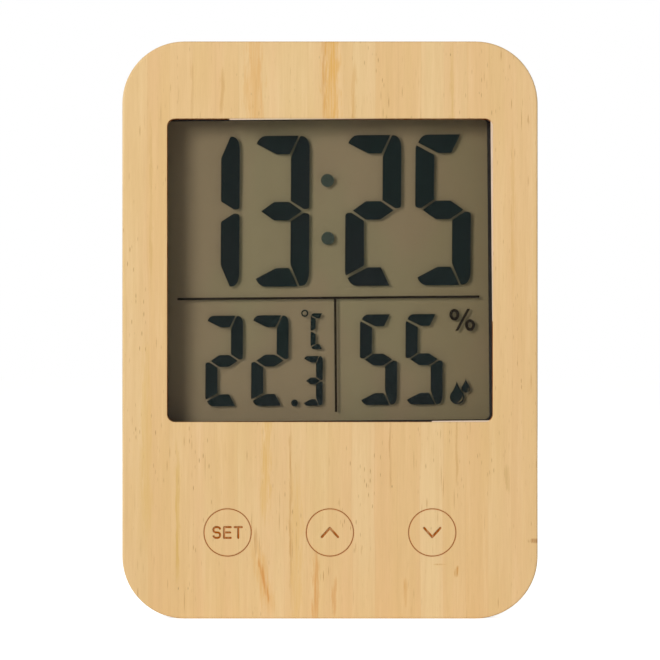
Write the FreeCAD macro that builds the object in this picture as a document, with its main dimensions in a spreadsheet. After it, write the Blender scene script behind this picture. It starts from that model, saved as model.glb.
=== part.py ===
import FreeCAD, Part
import math
import os
import re
import Sketcher

# A home weather station: a bamboo-fronted tablet with a segment display, three push buttons,
# a plastic case, a fold-out stand leg and a battery compartment.
#
# Frame: millimetres, +Z up, +X to the right of someone facing the display, front face towards -Y.
# The origin is the bottom centre of the whole object. "Depth" always means the distance behind
# the front face, so a point at depth d has Y = d - case_depth / 2.

DIMENSIONS = {
    # outer case
    "case_width": 95.0,
    "case_height": 132.0,
    "case_depth": 23.5,
    "case_corner": 14.2,
    "panel_thickness": 3.5,
    "panel_round": 0.4,
    "glue_thickness": 0.2,
    "glue_inset": 1.5,
    "glue_margin": 0.5,
    "shell_inset": 0.3,
    "shell_wall": 2.0,
    "front_wall": 1.8,
    "back_wall": 2.0,
    "back_round": 2.0,
    "split_depth": 12.5,
    "tongue_length": 1.5,
    "tongue_gap": 0.1,
    "tongue_wall": 0.7,
    # display window and lens
    "window_width": 74.5,
    "window_height": 69.4,
    "window_top": 17.65,
    "window_corner": 1.8,
    "lip_set_back": 0.4,
    "lens_width": 79.0,
    "lens_height": 74.0,
    "lens_thickness": 1.2,
    "lens_gap": 0.1,
    # display stack
    "gasket_thickness": 0.5,
    "gasket_reach": 0.7,
    "gasket_width": 1.9,
    "polariser_thickness": 0.2,
    "reflector_thickness": 0.3,
    "film_bond": 0.02,
    "film_margin": 0.6,
    "glass_width": 78.0,
    "glass_height": 75.0,
    "glass_bottom": 41.0,
    "glass_thickness": 1.1,
    "contact_ledge": 2.9,
    "cell_gap": 0.1,
    "seal_width": 1.0,
    "bracket_gap": 0.1,
    "bracket_rim": 1.0,
    "bracket_back": 0.9,
    "bracket_hole_x": 42.3,
    "bracket_hole_low": 56.0,
    "bracket_hole_high": 104.0,
    "bracket_ear": 5.0,
    "ear_overlap": 0.2,
    "bracket_boss": 1.9,
    "zebra_length": 64.0,
    "zebra_bottom": 41.5,
    "zebra_height": 2.2,
    "zebra_gap": 0.2,
    # circuit board
    "board_width": 68.0,
    "board_bottom": 7.0,
    "board_height": 39.0,
    "board_front": 12.0,
    "board_thickness": 1.2,
    "board_corner": 1.0,
    "board_hole_x": 30.0,
    "board_hole_low": 10.5,
    "board_hole_high": 36.0,
    "board_boss": 2.2,
    "board_hole": 1.1,
    # small and case screws
    "pilot_radius": 0.8,
    "pilot_depth": 3.0,
    "screw_gap": 0.03,
    "screw_end_gap": 0.3,
    "small_head_radius": 1.7,
    "small_head_height": 1.1,
    "case_screw_x": 38.0,
    "case_screw_low": 9.5,
    "case_screw_high": 122.5,
    "case_boss": 3.0,
    "case_post": 3.9,
    "case_pilot": 1.15,
    "case_hole": 1.4,
    "case_pilot_depth": 5.5,
    "head_seat": 16.5,
    "head_well": 3.0,
    "case_head_radius": 2.6,
    "case_head_height": 1.9,
    "cross_width": 0.6,
    "cross_span": 2.4,
    "cross_depth": 0.7,
    # buttons and switches
    "button_pitch": 23.4,
    "button_height": 19.7,
    "cap_radius": 5.33,
    "kerf": 0.15,
    "cap_room": 0.4,
    "glue_hole": 6.4,
    "plunger_radius": 3.9,
    "guide_gap": 0.1,
    "flange_radius": 5.0,
    "flange_thickness": 0.8,
    "tip_radius": 1.6,
    "tip_length": 0.6,
    "switch_size": 6.0,
    "switch_height": 3.5,
    "actuator_radius": 1.7,
    "actuator_gap": 0.06,
    "actuator_seat": 0.8,
    "button_travel": 0.3,
    "travel_margin": 0.2,
    "switch_corner": 0.5,
    "lead_reach": 1.2,
    "lead_width": 0.7,
    "lead_thickness": 0.15,
    # marks cut into the button caps
    "mark_depth": 0.15,
    "letter_stroke": 0.45,
    "letter_height": 2.45,
    "letter_gap": 0.46,
    "bowl_flat": 0.16,
    "e_width": 1.5,
    "e_middle_cut": 0.15,
    "t_width": 1.6,
    "chevron_stroke": 0.5,
    "chevron_half": 1.85,
    "chevron_rise": 2.05,
    # batteries
    "cell_radius": 5.25,
    "cell_length": 44.5,
    "nub_radius": 1.9,
    "nub_length": 0.9,
    "cell_pitch": 12.4,
    "cell_depth": 16.35,
    "tub_centre": 95.0,
    "tub_length": 52.0,
    "tub_height": 23.6,
    "tub_floor": 11.0,
    "floor_wall": 1.0,
    "tub_wall": 1.6,
    "plate_thickness": 0.4,
    "plate_size": 9.0,
    "dimple_radius": 2.2,
    "dimple_height": 0.6,
    "spring_wire": 0.35,
    "spring_radius": 3.6,
    "spring_turns": 4.0,
    "spring_cone": 14.0,
    "tab_width": 3.0,
    "tab_reach": 3.0,
    "tab_slot_gap": 0.1,
    # battery cover
    "cover_width": 54.8,
    "cover_height": 25.8,
    "cover_thickness": 1.6,
    "cover_corner": 1.2,
    "cover_gap": 0.15,
    "hook_x": 16.0,
    "hook_width": 6.0,
    "hook_thickness": 0.9,
    "hook_drop": 2.0,
    "hook_neck": 1.0,
    "hook_gap": 0.15,
    "hook_room_side": 0.3,
    "hook_room_end": 0.5,
    "hook_room_swing": 0.8,
    "hook_room_depth": 3.0,
    "grip_width": 12.0,
    "grip_pitch": 1.8,
    "grip_groove": 0.8,
    "grip_depth": 0.35,
    "scoop_radius": 4.2,
    "scoop_depth": 1.2,
    "scoop_rise": 1.0,
    "grip_start": 3.0,
    # stand leg
    "leg_width": 32.0,
    "leg_thickness": 3.0,
    "leg_bottom": 3.7,
    "leg_gap": 0.2,
    "leg_corner": 3.0,
    "leg_round": 1.48,
    "hinge_height": 64.0,
    "hinge_depth": 21.85,
    "pin_radius": 1.25,
    "pin_gap": 0.06,
    "pin_length": 1.4,
    "recess_floor": 20.2,
    "tray_wall": 2.0,
    "tray_floor": 1.5,
    "leg_scoop_height": 14.0,
    "leg_scoop_radius": 7.0,
    "leg_grip_start": 5.0,
    "pin_end_gap": 0.1,
    # vents and wall hanger
    "vent_inner": 22.5,
    "vent_length": 14.0,
    "vent_width": 1.4,
    "vent_bottom": 22.0,
    "vent_pitch": 3.4,
    "keyhole_height": 118.5,
    "keyhole_radius": 3.6,
    "keyhole_slot": 1.7,
    "keyhole_rise": 5.5,
    "keyhole_room": 4.3,
    "keyhole_wall": 1.2,
    "keyhole_margin": 0.8,
    # parts on the board's back
    "blob_radius": 5.5,
    "blob_rise": 1.6,
    "blob_height": 26.0,
    "crystal_radius": 1.0,
    "crystal_length": 6.0,
    "crystal_x": 12.0,
    "crystal_height": 30.0,
    "chip_length": 1.6,
    "chip_width": 0.8,
    "capacitor_rise": 0.8,
    "resistor_rise": 0.5,
    "sensor_x": -28.0,
    "sensor_bottom": 22.0,
    "sensor_width": 8.0,
    "sensor_height": 10.0,
    "sensor_rise": 3.0,
    "sensor_slot": 0.8,
    "sensor_slot_start": 1.8,
    "sensor_corner": 0.8,
    "bead_radius": 1.2,
    "bead_x": -18.0,
    "bead_height": 28.0,
    "wire_radius": 0.25,
    "lead_radius": 0.6,
    "lead_bend": 2.0,
    "red_x": 28.4,
    "black_x": 30.4,
    "pad_height": 43.0,
}
VENTS_PER_SIDE = 6
GRIP_GROOVES = 4
SENSOR_SLOTS = 4
CHIP_CAPACITORS = ((-8.0, 12.0), (-8.0, 15.0), (8.0, 12.0), (20.0, 24.0), (22.5, 24.0), (26.0, 26.0))
CHIP_RESISTORS = ((-12.0, 12.0), (-12.0, 15.0), (12.0, 12.0), (-20.0, 34.0), (22.0, 30.0))

doc = FreeCAD.newDocument("weather_station")
sheet = doc.addObject("Spreadsheet::Sheet", "dims")
for row, (alias, number) in enumerate(DIMENSIONS.items(), start=1):
    sheet.set(f"A{row}", str(number))
    sheet.setAlias(f"A{row}", alias)
doc.recompute()

SUB_PARTS = []
TOUCH = 1e-3
NO_VOLUME = 1e-6


# ---------------------------------------------------------------- expressions and sketches

def bound(expression):
    """The expression with each dimension's name pointed at the sheet."""
    def point(word):
        return "dims." + word.group() if word.group() in DIMENSIONS else word.group()
    return re.sub(r"[a-z_][a-z0-9_]*", point, str(expression))


def value(expression):
    """What an expression comes to, as a number."""
    return float(sheet.evalExpression(bound(expression)))


def sub_part(label):
    """A new body whose label names its file."""
    body = doc.addObject("PartDesign::Body", label)
    body.Label = label
    SUB_PARTS.append(body)
    return body


def plane_sketch(body, role, name, offset):
    sketch = body.newObject("Sketcher::SketchObject", name)
    plane = [feature for feature in body.Origin.OriginFeatures if feature.Role == role][0]
    sketch.AttachmentSupport = (plane, [""])
    sketch.MapMode = "FlatFace"
    sketch.setExpression("AttachmentOffset.Base.z", bound(offset))
    return sketch


def front_sketch(body, name, depth):
    """A sketch in X and Z at a depth behind the front face."""
    return plane_sketch(body, "XZ_Plane", name, f"case_depth / 2 - ({depth})")


def side_sketch(body, name, across):
    """A sketch in Y and Z at a distance across the object; see y_at for its Y values."""
    return plane_sketch(body, "YZ_Plane", name, across)


def y_at(depth):
    return f"(({depth}) - case_depth / 2)"


def point(across, up):
    return FreeCAD.Vector(value(across), value(up), 0)


def locate(sketch, geometry, position, across, up):
    """Tie one point of the sketch to two expressions."""
    for kind, expression in (("DistanceX", across), ("DistanceY", up)):
        if expression is not None:
            constraint = Sketcher.Constraint(kind, -1, 1, geometry, position, value(expression))
            index = sketch.addConstraint(constraint)
            sketch.setExpression(f"Constraints[{index}]", bound(expression))


def measure(sketch, kind, arguments, expression):
    """Add one sized constraint and tie it to an expression."""
    index = sketch.addConstraint(Sketcher.Constraint(kind, *arguments, value(expression)))
    sketch.setExpression(f"Constraints[{index}]", bound(expression))


def circle(sketch, across, up, radius):
    shape = Part.Circle(point(across, up), FreeCAD.Vector(0, 0, 1), value(radius))
    geometry = sketch.addGeometry(shape, False)
    measure(sketch, "Radius", (geometry,), radius)
    locate(sketch, geometry, 3, across, up)


def polygon(sketch, corners):
    """A closed outline of straight sides through corners given as expression pairs."""
    points = [point(*corner) for corner in corners]
    first = sketch.GeometryCount
    for start, end in zip(points, points[1:] + points[:1]):
        sketch.addGeometry(Part.LineSegment(start, end), False)
    for side in range(len(points)):
        following = (side + 1) % len(points)
        sketch.addConstraint(Sketcher.Constraint("Coincident", first + side, 2, first + following, 1))
    for side, corner in enumerate(corners):
        locate(sketch, first + side, 1, *corner)


def rectangle(sketch, left, bottom, width, height, corner=None):
    """A rectangle, with rounded corners if a corner radius is given."""
    if corner is None:
        right = f"({left}) + ({width})"
        top = f"({bottom}) + ({height})"
        polygon(sketch, [(left, bottom), (right, bottom), (right, top), (left, top)])
        return
    start = point(left, bottom)
    end = start + point(width, height)
    bend = value(corner)
    sides = [((start.x + bend, start.y), (end.x - bend, start.y)),
             ((end.x, start.y + bend), (end.x, end.y - bend)),
             ((end.x - bend, end.y), (start.x + bend, end.y)),
             ((start.x, end.y - bend), (start.x, start.y + bend))]
    centres = [(end.x - bend, start.y + bend), (end.x - bend, end.y - bend),
               (start.x + bend, end.y - bend), (start.x + bend, start.y + bend)]
    first = sketch.GeometryCount
    for side, (side_start, side_end) in enumerate(sides):
        line = Part.LineSegment(FreeCAD.Vector(*side_start), FreeCAD.Vector(*side_end))
        sketch.addGeometry(line, False)
        round_off = Part.Circle(FreeCAD.Vector(*centres[side]), FreeCAD.Vector(0, 0, 1), bend)
        from_angle = (side - 1) * math.pi / 2
        sketch.addGeometry(Part.ArcOfCircle(round_off, from_angle, from_angle + math.pi / 2), False)
    for side in range(4):
        line = first + 2 * side
        arc = line + 1
        next_line = first + (2 * side + 2) % 8
        sketch.addConstraint(Sketcher.Constraint("Tangent", line, 2, arc, 1))
        sketch.addConstraint(Sketcher.Constraint("Tangent", arc, 2, next_line, 1))
        direction = "Horizontal" if side % 2 == 0 else "Vertical"
        sketch.addConstraint(Sketcher.Constraint(direction, line))
        if side:
            sketch.addConstraint(Sketcher.Constraint("Equal", first + 1, arc))
    measure(sketch, "Radius", (first + 1,), corner)
    locate(sketch, first, 1, None, bottom)
    locate(sketch, first + 6, 1, left, None)
    measure(sketch, "DistanceY", (first, 1, first + 4, 1), height)
    measure(sketch, "DistanceX", (first + 6, 1, first + 2, 1), width)


def centred(sketch, up, width, height, corner=None):
    """A rectangle centred across the object, with its middle at a height."""
    rectangle(sketch, f"-({width}) / 2", f"({up}) - ({height}) / 2", width, height, corner)


def stroke(sketch, start, end, width):
    """A straight bar with round ends from one point to another."""
    first_end = point(*start)
    second_end = point(*end)
    along = second_end - first_end
    angle = math.atan2(along.y, along.x)
    half = value(width) / 2
    aside = FreeCAD.Vector(-math.sin(angle), math.cos(angle), 0) * half
    up_axis = FreeCAD.Vector(0, 0, 1)
    quarter = math.pi / 2
    far_cap = Part.ArcOfCircle(Part.Circle(second_end, up_axis, half), angle - quarter, angle + quarter)
    near_cap = Part.ArcOfCircle(Part.Circle(first_end, up_axis, half), angle + quarter,
                                angle + 3 * quarter)
    first = sketch.GeometryCount
    sketch.addGeometry(Part.LineSegment(first_end - aside, second_end - aside), False)
    sketch.addGeometry(far_cap, False)
    sketch.addGeometry(Part.LineSegment(second_end + aside, first_end + aside), False)
    sketch.addGeometry(near_cap, False)
    for side in range(4):
        following = first + (side + 1) % 4
        sketch.addConstraint(Sketcher.Constraint("Tangent", first + side, 2, following, 1))
    measure(sketch, "Radius", (first + 1,), f"({width}) / 2")
    sketch.addConstraint(Sketcher.Constraint("Equal", first + 1, first + 3))
    locate(sketch, first + 1, 3, *end)
    locate(sketch, first + 3, 3, *start)


def curved_stroke(sketch, centre, radius, width, from_degrees, to_degrees):
    """A round-ended bar that follows an arc; its radii and centre come from the sheet."""
    middle = point(*centre)
    up_axis = FreeCAD.Vector(0, 0, 1)
    half = value(width) / 2
    bend = value(radius)
    low = math.radians(from_degrees)
    high = math.radians(to_degrees)
    low_end = middle + FreeCAD.Vector(math.cos(low), math.sin(low), 0) * bend
    high_end = middle + FreeCAD.Vector(math.cos(high), math.sin(high), 0) * bend
    outer = Part.ArcOfCircle(Part.Circle(middle, up_axis, bend + half), low, high)
    inner = Part.ArcOfCircle(Part.Circle(middle, up_axis, bend - half), low, high)
    high_cap = Part.ArcOfCircle(Part.Circle(high_end, up_axis, half), high, high + math.pi)
    low_cap = Part.ArcOfCircle(Part.Circle(low_end, up_axis, half), low - math.pi, low)
    first = sketch.GeometryCount
    for arc in (outer, high_cap, inner, low_cap):
        sketch.addGeometry(arc, False)
    joints = ((0, 2, 1, 1), (1, 2, 2, 2), (2, 1, 3, 1), (3, 2, 0, 1))
    for arc, end, next_arc, next_end in joints:
        constraint = Sketcher.Constraint("Coincident", first + arc, end, first + next_arc, next_end)
        sketch.addConstraint(constraint)
    measure(sketch, "Radius", (first,), f"({radius}) + ({width}) / 2")
    measure(sketch, "Radius", (first + 2,), f"({radius}) - ({width}) / 2")
    locate(sketch, first, 3, *centre)
    locate(sketch, first + 2, 3, *centre)


# ---------------------------------------------------------------- features

def seen_from_front(sketch):
    return sketch.AttachmentSupport[0][0].Role == "XZ_Plane"


def pad(body, sketch, length, midplane=False):
    """Add material from a sketch towards +Y (front sketches) or +X (side sketches)."""
    feature = body.newObject("PartDesign::Pad", sketch.Name + "_pad")
    feature.Profile = sketch
    feature.setExpression("Length", bound(length))
    feature.Midplane = midplane
    feature.Reversed = seen_from_front(sketch) and not midplane
    doc.recompute()
    return feature


def pocket(body, sketch, length, midplane=False):
    """Cut from a sketch towards +Y or +X, and make sure that the cut removed something."""
    before = body.Shape.Volume
    feature = body.newObject("PartDesign::Pocket", sketch.Name + "_cut")
    feature.Profile = sketch
    feature.setExpression("Length", bound(length))
    feature.Midplane = midplane
    feature.Reversed = not seen_from_front(sketch) and not midplane
    doc.recompute()
    if body.Shape.Volume >= before - NO_VOLUME:
        raise RuntimeError(f"{feature.Name} cuts nothing")
    return feature


def fillet(body, radius, wanted):
    """Round the edges of the body for which wanted(edge) is true."""
    base = body.Tip
    names = [f"Edge{number}" for number, edge in enumerate(base.Shape.Edges, start=1) if wanted(edge)]
    feature = body.newObject("PartDesign::Fillet", body.Name + "_fillet")
    feature.Base = (base, names)
    feature.setExpression("Radius", bound(radius))
    doc.recompute()
    return feature


def outline_edges(depth):
    """Picks the edges of the case's outer outline that lie at one depth."""
    level = value(y_at(depth))
    side = value("case_width / 2") - TOUCH
    top = value("case_height") - TOUCH

    def wanted(edge):
        box = edge.BoundBox
        flat = abs(box.YMin - level) < TOUCH and abs(box.YMax - level) < TOUCH
        return flat and (max(-box.XMin, box.XMax) > side or box.ZMin < TOUCH or box.ZMax > top)
    return wanted


def front_plate(label, depth, thickness, up, width, height, corner=None):
    """A flat piece parallel to the front, centred across the object."""
    body = sub_part(label)
    sketch = front_sketch(body, label + "_outline", depth)
    centred(sketch, up, width, height, corner)
    pad(body, sketch, thickness)
    return body


def cut_window(body, depth, thickness, width, height, corner=None):
    """An opening centred on the display window."""
    sketch = front_sketch(body, body.Name + "_window", depth)
    centred(sketch, WINDOW_CENTRE, width, height, corner)
    pocket(body, sketch, thickness)


def circles(body, name, depth, length, places, radius, feature=pad):
    """Round bosses or holes along Y, all alike."""
    sketch = front_sketch(body, name, depth)
    for across, up in places:
        circle(sketch, across, up, radius)
    feature(body, sketch, length)


def box(body, name, depth, length, left, bottom, width, height, feature=pad, corner=None):
    """A rectangular block or cut, by its lower left corner as seen from the front."""
    sketch = front_sketch(body, name, depth)
    rectangle(sketch, left, bottom, width, height, corner)
    feature(body, sketch, length)


def four(across, low, high):
    """Left and right places at two heights."""
    return [(f"{side} * {across}", up) for side in (-1, 1) for up in (low, high)]


# ---------------------------------------------------------------- shared places

SHELL_FRONT = "(panel_thickness + glue_thickness)"
WALL_BACK = "(panel_thickness + glue_thickness + front_wall)"
WINDOW_CENTRE = "(case_height - window_top - window_height / 2)"
GASKET_FRONT = WALL_BACK
FILM_FRONT = f"({GASKET_FRONT} + gasket_thickness)"
GLASS_FRONT = f"({FILM_FRONT} + polariser_thickness + film_bond)"
CELL_FRONT = f"({GLASS_FRONT} + glass_thickness)"
REAR_GLASS_FRONT = f"({CELL_FRONT} + cell_gap)"
REFLECTOR_FRONT = f"({REAR_GLASS_FRONT} + glass_thickness + film_bond)"
BRACKET_FRONT = f"({REFLECTOR_FRONT} + reflector_thickness)"
BRACKET_REAR = f"({BRACKET_FRONT} + bracket_back)"
GLASS_TOP = "(glass_bottom + glass_height)"
GLASS_CENTRE = "(glass_bottom + glass_height / 2)"
REAR_GLASS_HEIGHT = "(glass_height - contact_ledge)"
REAR_GLASS_CENTRE = f"({GLASS_TOP} - {REAR_GLASS_HEIGHT} / 2)"
BOARD_REAR = "(board_front + board_thickness)"
CASE_MIDDLE = "(case_height / 2)"
SHELL_WIDTH = "(case_width - 2 * shell_inset)"
SHELL_HEIGHT = "(case_height - 2 * shell_inset)"
SHELL_CORNER = "(case_corner - shell_inset)"
BACK_INSIDE = "(case_depth - back_wall)"
COVER_FRONT = "(case_depth - cover_thickness)"
TUB_FRONT = "(tub_floor - floor_wall)"
FLANGE_FRONT = WALL_BACK
TIP_FRONT = f"({FLANGE_FRONT} + flange_thickness)"
ACTUATOR_FRONT = f"({TIP_FRONT} + tip_length)"
SWITCH_FRONT = "(board_front - switch_height)"
BUTTONS = {"set": "-button_pitch", "up": "0", "down": "button_pitch"}
BUTTON_PLACES = [(across, "button_height") for across in BUTTONS.values()]
CASE_SCREWS = four("case_screw_x", "case_screw_low", "case_screw_high")
BOARD_SCREWS = four("board_hole_x", "board_hole_low", "board_hole_high")
BRACKET_SCREWS = four("bracket_hole_x", "bracket_hole_low", "bracket_hole_high")


def shell_outline(body, name, depth, inset):
    """The shell's rounded outline, moved inwards."""
    sketch = front_sketch(body, name, depth)
    centred(sketch, CASE_MIDDLE, f"{SHELL_WIDTH} - 2 * ({inset})", f"{SHELL_HEIGHT} - 2 * ({inset})",
            f"{SHELL_CORNER} - ({inset})")
    return sketch


# ---------------------------------------------------------------- front

def front_panel():
    body = front_plate("front_panel", "0", "panel_thickness", CASE_MIDDLE, "case_width", "case_height",
                       "case_corner")
    cut_window(body, "0", "panel_thickness", "window_width", "window_height", "window_corner")
    circles(body, "cap_holes", "0", "panel_thickness", BUTTON_PLACES, "cap_radius + kerf", pocket)
    fillet(body, "panel_round", outline_edges("0"))


def panel_adhesive():
    body = front_plate("panel_adhesive", "panel_thickness", "glue_thickness", CASE_MIDDLE,
                       "case_width - 2 * glue_inset", "case_height - 2 * glue_inset",
                       "case_corner - glue_inset")
    cut_window(body, "panel_thickness", "glue_thickness", "window_width + 2 * glue_margin",
               "window_height + 2 * glue_margin", "window_corner")
    circles(body, "glue_holes", "panel_thickness", "glue_thickness", BUTTON_PLACES, "glue_hole", pocket)


def front_housing():
    body = sub_part("front_housing")
    pad(body, shell_outline(body, "front_outside", SHELL_FRONT, "0"), f"split_depth - {SHELL_FRONT}")
    pocket(body, shell_outline(body, "front_inside", WALL_BACK, "shell_wall"), "split_depth")
    circles(body, "case_bosses", WALL_BACK, f"split_depth - {WALL_BACK}", CASE_SCREWS, "case_boss")
    circles(body, "board_bosses", WALL_BACK, f"board_front - {WALL_BACK}", BOARD_SCREWS, "board_boss")
    circles(body, "bracket_bosses", WALL_BACK, f"{BRACKET_FRONT} - {WALL_BACK}", BRACKET_SCREWS,
            "bracket_boss")
    circles(body, "case_pilots", "split_depth - case_pilot_depth", "case_pilot_depth", CASE_SCREWS,
            "case_pilot", pocket)
    circles(body, "board_pilots", "board_front - pilot_depth", "pilot_depth", BOARD_SCREWS,
            "pilot_radius", pocket)
    circles(body, "bracket_pilots", f"{BRACKET_FRONT} - pilot_depth", "pilot_depth", BRACKET_SCREWS,
            "pilot_radius", pocket)
    cut_window(body, SHELL_FRONT, "front_wall", "window_width + 2 * lip_set_back",
               "window_height + 2 * lip_set_back", "window_corner")
    cut_window(body, SHELL_FRONT, "lens_thickness", "lens_width + 2 * lens_gap",
               "lens_height + 2 * lens_gap")
    circles(body, "plunger_guides", SHELL_FRONT, "front_wall", BUTTON_PLACES,
            "plunger_radius + guide_gap", pocket)
    circles(body, "cap_rooms", SHELL_FRONT, "cap_room", BUTTON_PLACES, "cap_radius + kerf", pocket)


def display_lens():
    front_plate("display_lens", SHELL_FRONT, "lens_thickness", WINDOW_CENTRE, "lens_width",
                "lens_height")


def display_gasket():
    inner_width = "(window_width - 2 * gasket_reach)"
    inner_height = "(window_height - 2 * gasket_reach)"
    body = front_plate("display_gasket", GASKET_FRONT, "gasket_thickness", WINDOW_CENTRE,
                       f"{inner_width} + 2 * gasket_width", f"{inner_height} + 2 * gasket_width")
    cut_window(body, GASKET_FRONT, "gasket_thickness", inner_width, inner_height)


# ---------------------------------------------------------------- display

def display_films():
    height = f"{REAR_GLASS_HEIGHT} - 2 * film_margin"
    width = "glass_width - 2 * film_margin"
    front_plate("front_polariser", FILM_FRONT, "polariser_thickness", REAR_GLASS_CENTRE, width, height)
    front_plate("rear_reflector", REFLECTOR_FRONT, "reflector_thickness", REAR_GLASS_CENTRE, width,
                height)


def display_glasses():
    front_plate("lcd_front_glass", GLASS_FRONT, "glass_thickness", GLASS_CENTRE, "glass_width",
                "glass_height")
    front_plate("lcd_rear_glass", REAR_GLASS_FRONT, "glass_thickness", REAR_GLASS_CENTRE, "glass_width",
                REAR_GLASS_HEIGHT)
    seal = front_plate("lcd_edge_seal", CELL_FRONT, "cell_gap", REAR_GLASS_CENTRE, "glass_width",
                       REAR_GLASS_HEIGHT)
    opening = front_sketch(seal, "seal_opening", CELL_FRONT)
    centred(opening, REAR_GLASS_CENTRE, "glass_width - 2 * seal_width",
            f"{REAR_GLASS_HEIGHT} - 2 * seal_width")
    pocket(seal, opening, "cell_gap")


def display_bracket():
    rim = "(bracket_gap + bracket_rim)"
    width = f"(glass_width + 2 * {rim})"
    height = f"(glass_height + 2 * {rim})"
    body = front_plate("display_bracket", FILM_FRONT, f"{BRACKET_REAR} - {FILM_FRONT}", GLASS_CENTRE,
                       width, height)
    hollow = front_sketch(body, "glass_seat", FILM_FRONT)
    centred(hollow, GLASS_CENTRE, "glass_width + 2 * bracket_gap", "glass_height + 2 * bracket_gap")
    pocket(body, hollow, f"{BRACKET_FRONT} - {FILM_FRONT}")
    reach = f"(bracket_hole_x + bracket_boss - {width} / 2)"
    ears = front_sketch(body, "bracket_ears", BRACKET_FRONT)
    for side in (-1, 1):
        for up in ("bracket_hole_low", "bracket_hole_high"):
            left = f"{side} * ({width} / 2 + {reach} / 2) - {reach} / 2 - ear_overlap"
            rectangle(ears, left, f"{up} - bracket_ear / 2", f"{reach} + 2 * ear_overlap",
                      "bracket_ear")
    pad(body, ears, "bracket_back")
    circles(body, "bracket_holes", BRACKET_FRONT, "bracket_back", BRACKET_SCREWS, "board_hole", pocket)
    box(body, "zebra_slot", BRACKET_FRONT, "bracket_back", "-zebra_length / 2 - zebra_gap",
        "zebra_bottom - zebra_gap", "zebra_length + 2 * zebra_gap", "zebra_height + 2 * zebra_gap",
        pocket)


def zebra_strip():
    body = sub_part("zebra_strip")
    box(body, "zebra_outline", CELL_FRONT, f"board_front - {CELL_FRONT}", "-zebra_length / 2",
        "zebra_bottom", "zebra_length", "zebra_height")


# ---------------------------------------------------------------- screws

def screws(label, places, seat, shank, shank_length, head, head_height):
    """Pan-headed cross-recess screws whose heads sit at a depth and point to the back."""
    body = sub_part(label)
    circles(body, label + "_heads", seat, head_height, places, head)
    circles(body, label + "_shanks", f"({seat}) - ({shank_length})", shank_length, places, shank)
    recess_depth = f"({seat}) + ({head_height}) - cross_depth"
    for direction, (width, height) in {"across": ("cross_span", "cross_width"),
                                       "upright": ("cross_width", "cross_span")}.items():
        cross = front_sketch(body, f"{label}_{direction}", recess_depth)
        for across, up in places:
            rectangle(cross, f"{across} - {width} / 2", f"{up} - {height} / 2", width, height)
        pocket(body, cross, "cross_depth")


def all_screws():
    screws("housing_screws", CASE_SCREWS, "head_seat", "case_pilot - screw_gap",
           "head_seat - split_depth + case_pilot_depth - screw_end_gap", "case_head_radius",
           "case_head_height")
    screws("board_screws", BOARD_SCREWS, BOARD_REAR, "pilot_radius - screw_gap",
           "board_thickness + pilot_depth - screw_end_gap", "small_head_radius", "small_head_height")
    screws("bracket_screws", BRACKET_SCREWS, BRACKET_REAR, "pilot_radius - screw_gap",
           "bracket_back + pilot_depth - screw_end_gap", "small_head_radius", "small_head_height")


# ---------------------------------------------------------------- buttons

def cut_strokes(body, strokes, width):
    """Straight round-ended grooves in a cap's front face, given as name: (start, end)."""
    for name, (start, end) in strokes.items():
        sketch = front_sketch(body, name, "0")
        stroke(sketch, start, end, width)
        pocket(body, sketch, "mark_depth")


def letter_strokes(body, across, up):
    """The word SET in plain round-ended strokes, centred on a point."""
    bottom = f"(({up}) - letter_height / 2)"
    middle = f"({up})"
    top = f"(({up}) + letter_height / 2)"
    bowl = "letter_height / 4"
    s_width = f"(2 * bowl_flat + 2 * {bowl})"
    step = "letter_stroke + letter_gap"
    s_left = f"(({across}) - ({s_width} + e_width + t_width + 2 * ({step})) / 2)"
    e_left = f"({s_left} + {s_width} + {step})"
    e_right = f"({e_left} + e_width)"
    t_left = f"({e_right} + {step})"
    t_middle = f"({t_left} + t_width / 2)"
    bend_left = f"({s_left} + {bowl})"
    bend_right = f"({bend_left} + 2 * bowl_flat)"
    upper = f"{middle} + {bowl}"
    lower = f"{middle} - {bowl}"
    bends = {"s_head": (bend_right, upper, 25, 90), "s_upper": (bend_left, upper, 90, 270),
             "s_lower": (bend_right, lower, -90, 90), "s_tail": (bend_left, lower, -155, -90)}
    for name, (centre_across, centre_up, start, end) in bends.items():
        sketch = front_sketch(body, name, "0")
        curved_stroke(sketch, (centre_across, centre_up), bowl, "letter_stroke", start, end)
        pocket(body, sketch, "mark_depth")
    cut_strokes(body, {
        "s_top": ((bend_left, top), (bend_right, top)),
        "s_middle": ((bend_left, middle), (bend_right, middle)),
        "s_bottom": ((bend_left, bottom), (bend_right, bottom)),
        "e_back": ((e_left, bottom), (e_left, top)),
        "e_top": ((e_left, top), (e_right, top)),
        "e_middle": ((e_left, middle), (f"{e_right} - e_middle_cut", middle)),
        "e_bottom": ((e_left, bottom), (e_right, bottom)),
        "t_top": ((t_left, top), (f"{t_left} + t_width", top)),
        "t_stem": ((t_middle, bottom), (t_middle, top)),
    }, "letter_stroke")


def chevron_strokes(body, name, up, direction):
    """An arrowhead that points up (direction 1) or down (direction -1)."""
    across = BUTTONS[name]
    tip = (across, f"({up}) + {direction} * chevron_rise / 2")
    foot_up = f"({up}) - {direction} * chevron_rise / 2"
    cut_strokes(body, {
        f"{name}_left_arm": ((f"{across} - chevron_half", foot_up), tip),
        f"{name}_right_arm": ((f"{across} + chevron_half", foot_up), tip),
    }, "chevron_stroke")


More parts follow.
